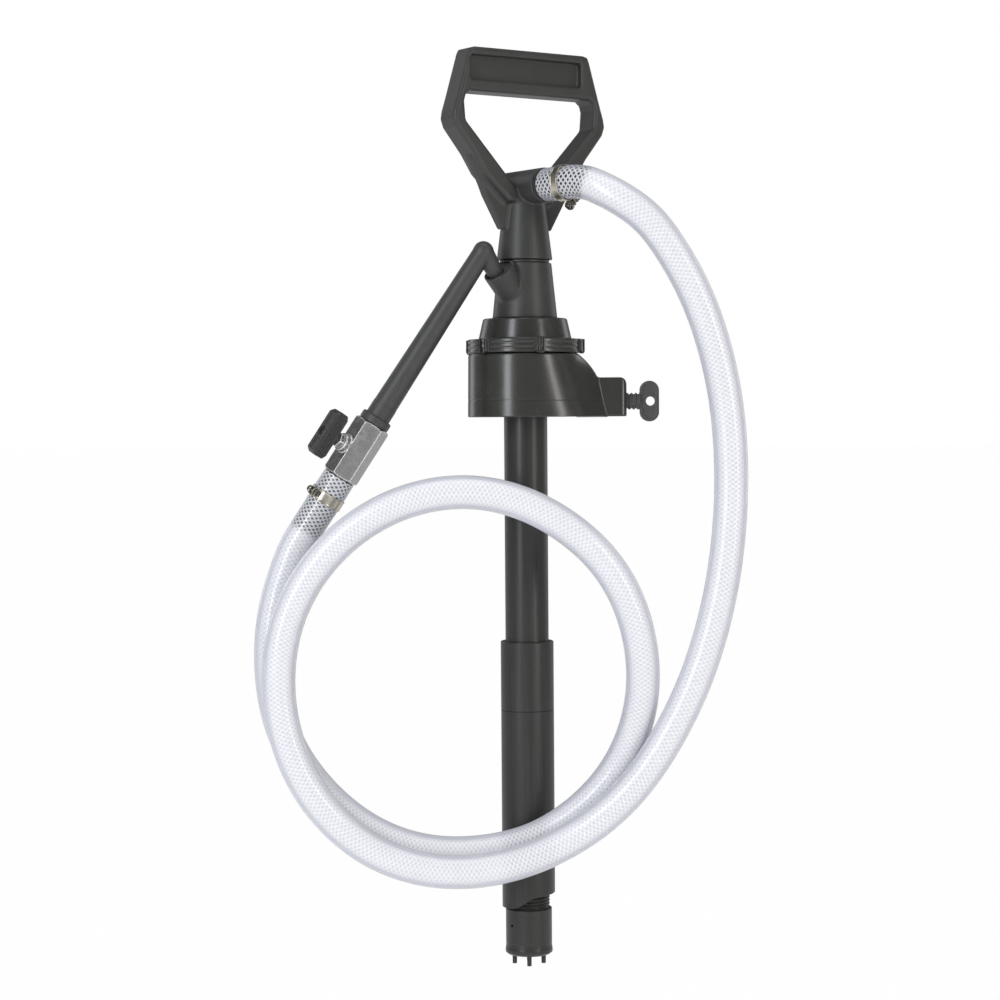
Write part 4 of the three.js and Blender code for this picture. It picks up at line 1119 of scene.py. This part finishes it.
solid("handle", "grip", "plunger", "satin", handle(), (-80, -60, 143), (80, 60, 337), 1.0)
turned("outlet_hose_tail", "barb", "plunger", "satin",
       [(6.8, 20.4), (11.9, 20.4), (11.9, 35.3), (14.6, 35.3), (14.6, 37.4), (8.9, 38.0),
        (9.6, 44), (8.9, 44.4), (9.3, 49), (8.4, 50.5), (6.8, 50.5)],
       at=SPIGOT, edge=0.25, segments=64)
turned("plunger_rod", "pipe", "plunger", "white",
       [(8.0, -414), (ROD_R, -414), (ROD_R, 184), (8.0, 184)], edge=0.5, segments=72)
turned("piston_body", "turned", "plunger", "white",
       [(16.9, -440), (16.9, -433.6), (15.0, -433.6), (15.0, -426.4), (16.9, -426.4),
        (16.9, -408), (11.3, -408), (11.3, -414.3), (8.2, -414.3), (8.2, -418),
        (12.2, -418), (12.2, -440)], edge=0.35)
ring("piston_seal", "plunger", "rubber", 15.4, 17.1, -433.2, -426.8, edge=0.6)
turned("piston_valve_seat", "ring", "plunger", "white",
       [(5.5, -446), (16.4, -446), (16.4, -440.3), (11.8, -440.3), (11.8, -438.3),
        (5.5, -438.3)], edge=0.5)


# ---------------------------------------------------------------- lance and valve
def lance():
    length = np.linalg.norm(BEND - VALVE_TOP)
    foot = revolved([(0, -10.6), (12.2, -10.6, 0.6), (12.2, 0.3), (14.5, 0.3, 0.5),
                     (14.5, 6.6, 0.8), (13.4, 7.6, 0.6), (11.6, 7.8, 0.5), (11.6, 20), (0, 20)])
    tip_length = 29.5

    def field(points):
        stem, tip = LANCE.local(points), TIP.local(points)
        rho, z = radial(stem), stem[:, 2]
        tip_rho, tip_z = radial(tip), tip[:, 2]
        radius = 11.6 + (9.0 - 11.6) * np.clip(z / length, 0, 1)
        long_arm = np.maximum(np.hypot(rho, np.maximum(z - length, 0)) - radius, -z)
        tip_radius = 9.0 + (7.3 - 9.0) * np.clip(tip_z / tip_length, 0, 1)
        short_arm = np.hypot(tip_rho, np.minimum(tip_z, 0)) - tip_radius
        short_arm = meet(short_arm, tip_z - tip_length, 0.7)
        shape = join(join(long_arm, short_arm, 1.6), foot(stem))
        shape = cut(shape, np.maximum(rho - 5.4, z - length), 0.3)
        return cut(shape, np.maximum(tip_rho - 4.9, -tip_z), 0.3)

    return field


def valve_body():
    chamfer = revolved([
        (0, -1), (14.9, -1), (14.9, 0), (17.6, 2.0), (17.6, VALVE_LENGTH - 2.0),
        (14.9, VALVE_LENGTH), (14.9, VALVE_LENGTH + 1), (0, VALVE_LENGTH + 1),
    ])

    def field(points):
        x, y, z = points.T
        rho = np.hypot(x, y)
        middle = VALVE_LENGTH / 2
        shape = meet(hexagon(x, y, 30.0), np.abs(z - middle) - middle, 1.1)
        shape = meet(shape, chamfer(points), 0.9)
        # the boss round the stem
        from_stem = np.hypot(y, z - middle)
        boss = meet(disc(from_stem, 8.6, x - 15, 5.5), from_stem + x - 28.3, 0.4)
        shape = join(shape, boss, 1.0)
        shape = cut(shape, np.maximum(rho - 12.7, z - 12), 0.4)
        shape = cut(shape, disc(rho, 8.6, z - 14, 3.2))
        shape = cut(shape, np.maximum(rho - 12.9, 16 - z), 0.4)
        return cut(shape, np.maximum(from_stem - 4.3, 8 - x))

    return field


def valve_ball(points):
    sphere = np.linalg.norm(points - np.array([0, 0, VALVE_LENGTH / 2]), axis=1) - 11.2
    return cut(sphere, radial(points) - 8.0, 0.5)


def gland_hex(points):
    x, y, z = points.T
    rho = np.hypot(x, y)
    shape = np.maximum(hexagon(x, y, 13.0), np.abs(z - 23.4) - 2.6)
    shape = meet(shape, rho + np.abs(z - 23.4) * 0.9 - 9.2, 0.4)
    return cut(shape, rho - 4.4, 0.3)


def lever():
    half = 22.5
    # in the plane of the pipe's direction (x) and the stem (z)
    side = outline([(-half + 4, 28.9), (half - 4, 28.9), (half, 31.5), (half, 41),
                    (half - 3.5, 45), (-half + 3.5, 45), (-half, 41), (-half, 31.5)], 1.4)

    def field(points):
        x, y, z = points.T
        rho = np.hypot(x, y)
        shape = slab(side(x, z), y, 6.0, 1.3)
        # three finger grooves along each face
        for groove_z in (32.4, 35.3, 38.2):
            shape = cut(shape, np.hypot(np.abs(y) - 6.35, z - groove_z) - 0.95, 0.35)
        shape = join(shape, disc(rho, 6.6, z - 28.4, 1.8), 1.0)
        shape = cut(shape, np.maximum(rho - 4.3, z - 40.3))
        shape = cut(shape, rho - 2.1)
        # two grooves along the end face
        shape = cut(shape, np.hypot(np.abs(y) - 2.7, z - 45.1) - 0.75, 0.3)
        return cut(shape, np.maximum(rho - 3.9, 41.2 - z), 0.4)

    return field


def lever_screw(points):
    x, y, z = points.T
    rho = np.hypot(x, y)
    shape = slab(rho - 3.5, z - 43.9, 1.0, 0.45)
    shape = np.minimum(shape, disc(rho, 1.6, z - 39, 5))
    cross = np.minimum(np.maximum(np.abs(x) - 0.45, np.abs(y) - 1.9),
                       np.maximum(np.abs(y) - 0.45, np.abs(x) - 1.9))
    return cut(shape, np.maximum(cross, 44.2 - z))


solid("lance", "pipe", "lance", "matte", lance(), (-160, -52, -24), (-18, -20, 168), 0.7)
solid("valve_body", "hex", "lance", "nickel", valve_body(), (-18, -18, -0.5), (21, 18, 57.5),
      0.6, at=VALVE)
turned("valve_seat_lower", "ring", "lance", "white",
       [(8.3, 16.3), (12.5, 16.3), (12.5, 21.4), (10.2, 21.4)], at=VALVE, edge=0.3)
turned("valve_seat_upper", "ring", "lance", "white",
       [(8.3, 40.7), (12.5, 40.7), (12.5, 35.6), (10.2, 35.6)], at=VALVE, edge=0.3)
ring("valve_end_cap", "lance", "nickel", 8.3, 12.5, 41.0, 46.0, edge=0.4, at=VALVE)
solid("valve_ball", "bored", "valve_lever", "ball", valve_ball, (-12, -12, 17), (12, 12, 40),
      0.6, at=VALVE)
solid("stem_gland_nut", "hex", "lance", "nickel", gland_hex, (-8, -8, 20.5), (8, 8, 26.3),
      0.42, at=STEM)
turned("valve_stem", "pin", "valve_lever", "nickel",
       [(0, 11.6), (3.9, 11.6), (3.9, 40.0), (1.95, 40.0), (1.95, 33.0), (0, 33.0)],
       at=STEM, edge=0.35, segments=48)
solid("valve_lever", "wing", "valve_lever", "lever", lever(), (-23, -7, 26), (23, 7, 45.5),
      0.5, at=STEM)
solid("lever_screw", "head", "valve_lever", "oxide", lever_screw, (-3.7, -3.7, 33.8),
      (3.7, 3.7, 45.8), 0.3, at=STEM)
turned("lance_hose_tail", "barb", "lance", "satin",
       [(6.8, 11.6), (12.2, 11.6), (12.2, 0.0), (9.2, 0.0), (8.9, -6.0), (9.6, -18),
        (8.9, -18.4), (9.6, -32), (8.9, -32.4), (9.6, -46), (8.9, -46.4), (8.2, -60),
        (6.8, -60)], at=VALVE, edge=0.25, segments=64)

# ---------------------------------------------------------------- the hose's centre line
# (x, y, z) from the valve round the coil to the handle's hub
HOSE_POINTS = [
    (-170.3, -36, -53.7), (-186.3, -36, -78.4), (-202.6, -36, -103.6), (-212.2, -37, -120),
    (-225.1, -40.2, -154.6), (-233, -41.9, -190.7), (-234.1, -42, -227.6), (-229.7, -42, -264.3),
    (-217.9, -42, -299.3), (-197.8, -42, -330.4), (-172.3, -42, -357.2), (-142.3, -42, -378.6),
    (-108.1, -42, -392.6), (-71.5, -42, -398), (-34.7, -42, -395.6), (1.5, -42, -387),
    (34.2, -42.5, -369.1), (62.5, -44.1, -344.4), (84.7, -47.6, -314.2), (98.4, -53.1, -279.7),
    (104.4, -59.3, -243.5), (102.2, -64.7, -206.9), (92.9, -69.1, -171.4), (76.1, -71.8, -138.6),
    (51.6, -72.8, -111), (21.8, -73, -89.2), (-11.7, -73, -73.6), (-47.9, -73, -66.4),
    (-84.8, -73, -68.4), (-120.2, -73, -78.8), (-152.5, -73, -96.9), (-180.3, -73, -121.2),
    (-202.3, -73, -150.9), (-217.4, -73, -184.6), (-224.2, -73, -220.9), (-224, -73, -257.9),
    (-216.2, -73, -294), (-201.8, -73, -328.1), (-180, -73, -358.4), (-151.9, -73, -383.4),
    (-118.4, -73, -400.7), (-81.3, -73, -409), (-43.5, -73, -408.7), (-6.4, -73, -400.4),
    (28.4, -73, -385.7), (60.5, -73, -365.7), (88.6, -73, -340.3), (111.8, -73, -310.6),
    (131, -73, -278.5), (147.3, -73, -244.9), (160.1, -73, -210), (169.9, -73, -174.2),
    (177, -73, -137.9), (181.3, -73.2, -101.1), (183.2, -73.7, -64.1), (182.5, -74, -27.1),
    (179.2, -74.2, 9.7), (172.5, -74.7, 46.1), (162.5, -75, 81.7), (148.8, -75, 116.1),
    (130.6, -74.8, 148.3), (109.1, -74.3, 178.3), (78.6, -70.8, 198.8), (60.5, -60.8, 209.4),
    (48, -54.6, 211.4), (36.5, -47.5, 211.2), (28.2, -40, 211), (21.7, -32.2, 211),
]
HOSE_STEP = 2.2  # between the hose's rings
HOSE_SEGMENTS = 44
LANCE_CLAMP, OUTLET_CLAMP = 22.0, 19.5  # the two clamps, measured from the hose's ends


def arc_lengths(points):
    return np.concatenate([[0], np.cumsum(np.linalg.norm(np.diff(points, axis=0), axis=1))])


def lerp(start, end, low, high, t):
    return (high - t) / (high - low) * start + (t - low) / (high - low) * end


def spline(points, step):
    """A centripetal Catmull-Rom curve as points about step apart, and the arc length at each."""
    points = np.asarray(points, float)
    points = np.vstack([2 * points[0] - points[1], points, 2 * points[-1] - points[-2]])
    pieces = []
    for i in range(1, len(points) - 2):
        p0, p1, p2, p3 = points[i - 1 : i + 3]
        knots = [0.0]
        for start, end in ((p0, p1), (p1, p2), (p2, p3)):
            knots.append(knots[-1] + math.sqrt(np.linalg.norm(end - start)))
        t0, t1, t2, t3 = knots
        count = max(2, int(np.linalg.norm(p2 - p1) / 0.5))
        t = np.linspace(t1, t2, count, endpoint=False)[:, None]
        middle = lerp(p1, p2, t1, t2, t)
        early = lerp(lerp(p0, p1, t0, t1, t), middle, t0, t2, t)
        late = lerp(middle, lerp(p2, p3, t2, t3, t), t1, t3, t)
        pieces.append(lerp(early, late, t1, t2, t))
    curve = np.vstack(pieces + [points[-2][None]])
    lengths = arc_lengths(curve)
    even = np.linspace(0, lengths[-1], int(round(lengths[-1] / step)) + 1)
    return np.stack([np.interp(even, lengths, curve[:, k]) for k in range(3)], 1), even


def hose_path():
    """The centre line, its arc lengths, and the tangent and two cross axes at each point."""
    centre, arc = spline(HOSE_POINTS, HOSE_STEP)
    # ease the bends between the points; the two ends stay where the tails hold them
    kernel = np.exp(-0.5 * (np.arange(-24, 25) * HOSE_STEP / 16.0) ** 2)
    eased = np.stack([smoothed(centre[:, k], kernel) for k in range(3)], 1)
    free = np.clip((arc - 62.0) / 60.0, 0, 1) * np.clip((arc[-1] - 24.0 - arc) / 45.0, 0, 1)
    free = ease(free)[:, None]
    centre = centre * (1 - free) + eased * free
    tangent = np.gradient(centre, axis=0)
    tangent /= np.linalg.norm(tangent, axis=1, keepdims=True)
    # the cross axes are carried along without twist
    side = np.zeros_like(tangent)
    carried = np.array((0, 1.0, 0))
    for i, direction in enumerate(tangent):
        carried = unit(carried - direction * (carried @ direction))
        side[i] = carried
    return centre, arc_lengths(centre), tangent, side, np.cross(tangent, side)


CENTRE, ARC, TANGENT, SIDE, CROSS = hose_path()
HOSE_LENGTH = ARC[-1]


# ---------------------------------------------------------------- hose clamps
def hose_clamp(name, base, along, degrees, body, half, scale=1.0):
    """A strip round the hose with two ears, a bolt and a nut. It sits along the base frame's Z
    and its ears stand degrees round from the frame's X; scale enlarges the bolt and nut."""
    angle = math.radians(degrees)
    ears = base.axes[0] * math.cos(angle) + base.axes[1] * math.sin(angle)
    at = Place(base.world([0, 0, along]), base.axes[2], ears)
    bolt_x = 20.4

    def band(points):
        x, y, z = points.T
        rho = np.hypot(x, y)
        strip = slab(np.abs(rho - 15.85) - 0.45, z, half, 0.3)
        rolled_edge = np.hypot(rho - 16.15, np.abs(z) - half + 0.3) - 0.42
        strip = join(strip, rolled_edge, 0.5)
        strip = cut(strip, np.maximum(np.abs(y) - 1.9, 8 - x))
        ear = np.maximum(np.abs(np.abs(y) - 2.4) - 0.5,
                         np.maximum(np.maximum(15.3 - x, x - 24.2), np.abs(z) - 3.9))
        shape = join(strip, ear, 1.0)
        corner = np.hypot(np.maximum(x - 21.7, 0), np.maximum(np.abs(z) - 1.6, 0)) - 2.4
        shape = np.where(x > 21.7, np.maximum(shape, corner), shape)
        return cut(shape, np.hypot(x - bolt_x, z) - 2.0)

    def bolt(x, y, z):
        rho = np.hypot(x, y)
        turns = np.arctan2(y, x) / (2 * math.pi)
        thread = (rho - (1.5 + 0.28 * triangle_wave(z / 0.8 - turns))) * 0.8
        shank = np.maximum(thread, np.maximum(-5 - z, z - 7.2))
        shape = join(shank, slab(rho - 3.3, z + 4.35, 1.05, 0.4), 0.2)
        slot = np.maximum(np.maximum(np.abs(x) - 0.45, z + 4.6), -8 - z)
        return cut(shape, slot)

    def nut(x, y, z):
        rho = np.hypot(x, y)
        shape = np.maximum(hexagon(x, y, 5.8), np.maximum(3.3 - z, z - 6.2))
        shape = meet(shape, (rho + np.abs(z - 4.75) * 1.2) - 4.75, 0.3)
        return cut(shape, rho - 1.85, 0.2)

    solid(f"{name}_band", "strip", body, "steel", band, (-17.5, -17.5, -half - 0.4),
          (24.5, 17.5, half + 0.4), 0.5, at=at)
    # Z runs from the bolt's head to the nut
    across = Place(at.world([bolt_x, 0, 0]), -at.axes[1], at.axes[0])
    for part, kind, shape_of, low, high in (("bolt", "screw", bolt, -5.6, 7.4),
                                            ("nut", "hex", nut, 3.2, 6.3)):
        def field(points):
            return shape_of(*(points.T / scale)) * scale

        solid(f"{name}_{part}", kind, body, "screw", field, scale * np.array((-3.5, -3.5, low)),
              scale * np.array((3.5, 3.5, high)), 0.28 * scale, at=across)


hose_clamp("lance_clamp", VALVE, -LANCE_CLAMP - 0.6, 14, "lance", half=4.8)
seat = int(np.argmin(np.abs(ARC - (HOSE_LENGTH - OUTLET_CLAMP))))
seat_x, seat_y, _ = TANGENT[seat]
hose_clamp("outlet_clamp", Place(CENTRE[seat], -TANGENT[seat], (seat_y, -seat_x, 0)), 0.0, -48,
           "plunger", half=3.7, scale=1.42)


# ---------------------------------------------------------------- hose
def hose_radius(arc):
    """Pinched under the clamps, swollen over the barbs beside them."""
    radius = np.full(arc.shape, HOSE_R)
    for clamp in (LANCE_CLAMP, HOSE_LENGTH - OUTLET_CLAMP):
        pinch = 0.30 * np.exp(-((arc - clamp) / 5.2) ** 4)
        radius = radius - pinch
        for offset in (8.5, -8.5):
            radius = radius + 0.18 * np.exp(-((arc - clamp - offset) / 3.0) ** 2)
    return radius


def hose_darkness(arc):
    """How dark the inside shows: the tails in the ends, a painted shadow in the bore past the
    outlet tail, and the tube behind the coil's foot.
    """
    dark = np.clip((62.0 - arc) / 7.0, 0, 1)
    # the outlet end's dark runs well past its tail: painted shadow in the bore
    dark = dark + np.clip((arc - (HOSE_LENGTH - 50.0)) / 7.0, 0, 1)
    dark = ease(dark) * np.where(arc < 100, 0.89, 1.0)
    x, y, z = (np.interp(arc, ARC, CENTRE[:, k]) for k in range(3))
    behind = np.where(z < -340.0, np.exp(-(x / 23.0) ** 6), 0) * np.where(y > -60, 0.24, 0.12)
    return np.clip(np.maximum(dark, behind), 0, 1)


def hose_piece(name, cad, first, last, body=None, blend=None):
    """A length of the hose between two of its rings; the bore has every fourth ring."""
    chosen = np.arange(first, last + 1)
    count = len(chosen)
    bore_rows = np.unique(np.concatenate([np.arange(0, count, 4), [count - 1]]))
    theta = (np.arange(HOSE_SEGMENTS) / HOSE_SEGMENTS * 2 * math.pi)[None, :, None]
    spokes = SIDE[chosen][:, None] * np.cos(theta) + CROSS[chosen][:, None] * np.sin(theta)
    centre = CENTRE[chosen][:, None]
    outer = centre + spokes * hose_radius(ARC[chosen])[:, None, None]
    bore = centre[bore_rows] + spokes[bore_rows] * HOSE_BORE
    points = np.concatenate([outer.reshape(-1, 3), bore.reshape(-1, 3)])
    arc = np.concatenate([ARC[chosen], ARC[chosen][bore_rows]])
    # rings joined in pairs: the outside, the bore turned inwards, then the two ends
    final = len(arc) - 1
    start = np.concatenate([np.arange(count - 1), np.arange(count + 1, final + 1),
                            [count, count - 1]])
    end = np.concatenate([np.arange(1, count), np.arange(count, final), [0, final]])
    spoke = np.arange(HOSE_SEGMENTS)
    u0, u1 = spoke / HOSE_SEGMENTS, (spoke + 1) / HOSE_SEGMENTS
    v0, v1 = arc[start][:, None] / 1000, arc[end][:, None] / 1000
    uv = np.stack(np.broadcast_arrays(u0, v0, u1, v0, u1, v1, u0, v1), 2).reshape(-1, 2)
    faces = band_faces(start, end, HOSE_SEGMENTS).tolist()
    piece = put(name, cad, body, "hose", points, faces, uv=uv, blend=blend,
                inner=hose_darkness(np.repeat(arc, HOSE_SEGMENTS)))
    smooth_below(piece.data, 60)


def hose():
    """Three lengths, cut on the way down from the lance and at the coil's lowest point."""
    way_down = np.flatnonzero((ARC > 150.0) & (ARC < 330.0))
    lance_cut = int(way_down[np.argmin(np.abs(CENTRE[way_down, 2] + 297.0))])
    later = np.flatnonzero(ARC > HOSE_LENGTH * 0.55)
    riser_cut = int(later[np.argmin(CENTRE[later, 2])])
    hose_piece("hose_lance_length", "hose_lance_end", 0, lance_cut,
               blend=("barrel", "lance", tuple(metres((-233.0, -42, -262.0))),
                      tuple(metres((-204.0, -36, -108.0)))))
    hose_piece("hose_coil_length", "hose_run", lance_cut, riser_cut, body="barrel")
    # the riser is given a blend between the barrel and the plunger above the coil; it is only
    # baked in place, fastened to no body
    hose_piece("hose_riser_length", "hose_outlet_end", riser_cut, len(ARC) - 1,
               blend=("barrel", "plunger", tuple(metres((100.0, -73.0, -300.0))),
                      tuple(metres((100.0, -73.0, 150.0)))))


hose()


# ---------------------------------------------------------------- floor
def floor_material():
    """Pale paper that the camera sees as an evenly lit white, with the faintest grain."""
    net = new_net("pale_floor")
    coords = net.coord()
    cloud = net.noise(coords, scale=3.0, detail=4.0)
    grain = net.noise(coords, scale=220.0, detail=3.0)
    net.surface(Base_Color=net.mix(cloud, (0.84, 0.84, 0.84), (0.88, 0.88, 0.88)),
                Roughness=0.85, Normal=net.bump(grain, strength=0.05, depth=0.0008))
    seen = net.node("ShaderNodeLightPath").outputs["Is Camera Ray"]
    paper = net.mix(net.noise(coords, scale=40.0, detail=3.0), (0.985, 0.985, 0.985),
                    (1.0, 1.0, 1.0))
    glow = net.node("ShaderNodeEmission", Color=paper, Strength=1.0)
    net.add_shader(seen, net.tree.nodes["Principled BSDF"], glow)
    return net.owner


def floor():
    """A round floor of rings about its middle, in metres."""
    material = floor_material()
    radii, segments = (1.5, 4.0, 12.0, 60.0), 64
    z = float(metres((0, 0, FLOOR_Z))[2])
    theta = np.arange(segments) / segments * 2 * math.pi
    points = [(0, 0, z)]
    for radius in radii:
        points += [(radius * math.cos(turn), radius * math.sin(turn), z) for turn in theta]
    faces = [(0, 1 + s, 1 + (s + 1) % segments) for s in range(segments)]
    for k in range(len(radii) - 1):
        near, far = 1 + k * segments, 1 + (k + 1) * segments
        for s in range(segments):
            t = (s + 1) % segments
            faces.append((near + s, far + s, far + t, near + t))
    mesh = bpy.data.meshes.new("floor")
    mesh.from_pydata(points, [], faces)
    mesh.update()
    piece = bpy.data.objects.new("floor", mesh)
    bpy.context.scene.collection.objects.link(piece)
    mesh.materials.append(material)


floor()


# ---------------------------------------------------------------- world, lights, camera
def studio_world():
    """White to the camera, dimmer as light, and dimmer still in reflections."""
    world = bpy.data.worlds.new("studio")
    bpy.context.scene.world = world
    net = Net(world)
    net.tree.nodes.clear()

    def background(colour, strength):
        return net.node("ShaderNodeBackground", i0=colour, i1=strength)

    rays = net.node("ShaderNodeLightPath").outputs
    seen = background(colour=(1, 1, 1), strength=1.0)
    diffuse = background(colour=(0.98, 0.988, 1.0), strength=0.69)
    glossy = background(colour=(0.96, 0.98, 1.0), strength=0.20)
    unseen = net.node("ShaderNodeMixShader", i0=rays["Is Glossy Ray"], i1=diffuse, i2=glossy)
    mixed = net.node("ShaderNodeMixShader", i0=rays["Is Camera Ray"], i1=unseen, i2=seen)
    net.node("ShaderNodeOutputWorld", i0=mixed)


def softbox(name, at, aim, size, power, colour=(1, 1, 1)):
    """A rectangular light in the part's frame, metres and watts."""
    light = bpy.data.lights.new(name, "AREA")
    light.shape = "RECTANGLE"
    light.size, light.size_y = size
    light.energy = power
    light.color = colour
    lamp = bpy.data.objects.new(name, light)
    lamp.location = at
    lamp.rotation_euler = (Vector(aim) - Vector(at)).to_track_quat("-Z", "Y").to_euler()
    bpy.context.scene.collection.objects.link(lamp)
    return lamp


def camera():
    data = bpy.data.cameras.new("camera")
    data.sensor_width = 36.0
    data.lens = 90.0
    data.clip_start, data.clip_end = 0.05, 200.0
    holder = bpy.data.objects.new("camera", data)
    bpy.context.scene.collection.objects.link(holder)
    place = Vector(metres((-24.2, -2312.0, 0.0)))
    pitch = math.atan(0.03312)  # downwards, from the fall over the distance
    roll = 0.0071
    holder.matrix_world = (Matrix.Translation(place)
                           @ Matrix.Rotation(math.pi / 2 - pitch, 4, "X")
                           @ Matrix.Rotation(-roll, 4, "Z"))
    bpy.context.scene.camera = holder


studio_world()
softbox("key_left", at=(-1.35, -1.9, 0.55), aim=(0, 0, -0.1), size=(0.5, 1.7), power=25,
        colour=(0.93, 0.96, 1.0))
softbox("fill_right", at=(1.7, -1.7, 0.3), aim=(0, 0, -0.1), size=(0.3, 1.6), power=14,
        colour=(1.0, 0.97, 0.92))
softbox("top", at=(0.1, -0.3, 2.0), aim=(0, 0, 0), size=(1.6, 1.2), power=11)
low_front = softbox("low_front", at=(0.1, -1.9, -0.66), aim=(-0.02, 0, -0.42),
                    size=(1.3, 0.25), power=2.0)
low_front.visible_glossy = False  # it only lifts the hose's shaded underside
softbox("back_left", at=(-1.6, 1.6, 0.6), aim=(0, 0, 0), size=(0.8, 1.6), power=5)
softbox("back_right", at=(1.8, 1.5, 0.5), aim=(0, 0, 0), size=(0.8, 1.6), power=5)
camera()
bpy.context.scene.view_settings.view_transform = "Standard"
bpy.context.scene.view_settings.look = "None"
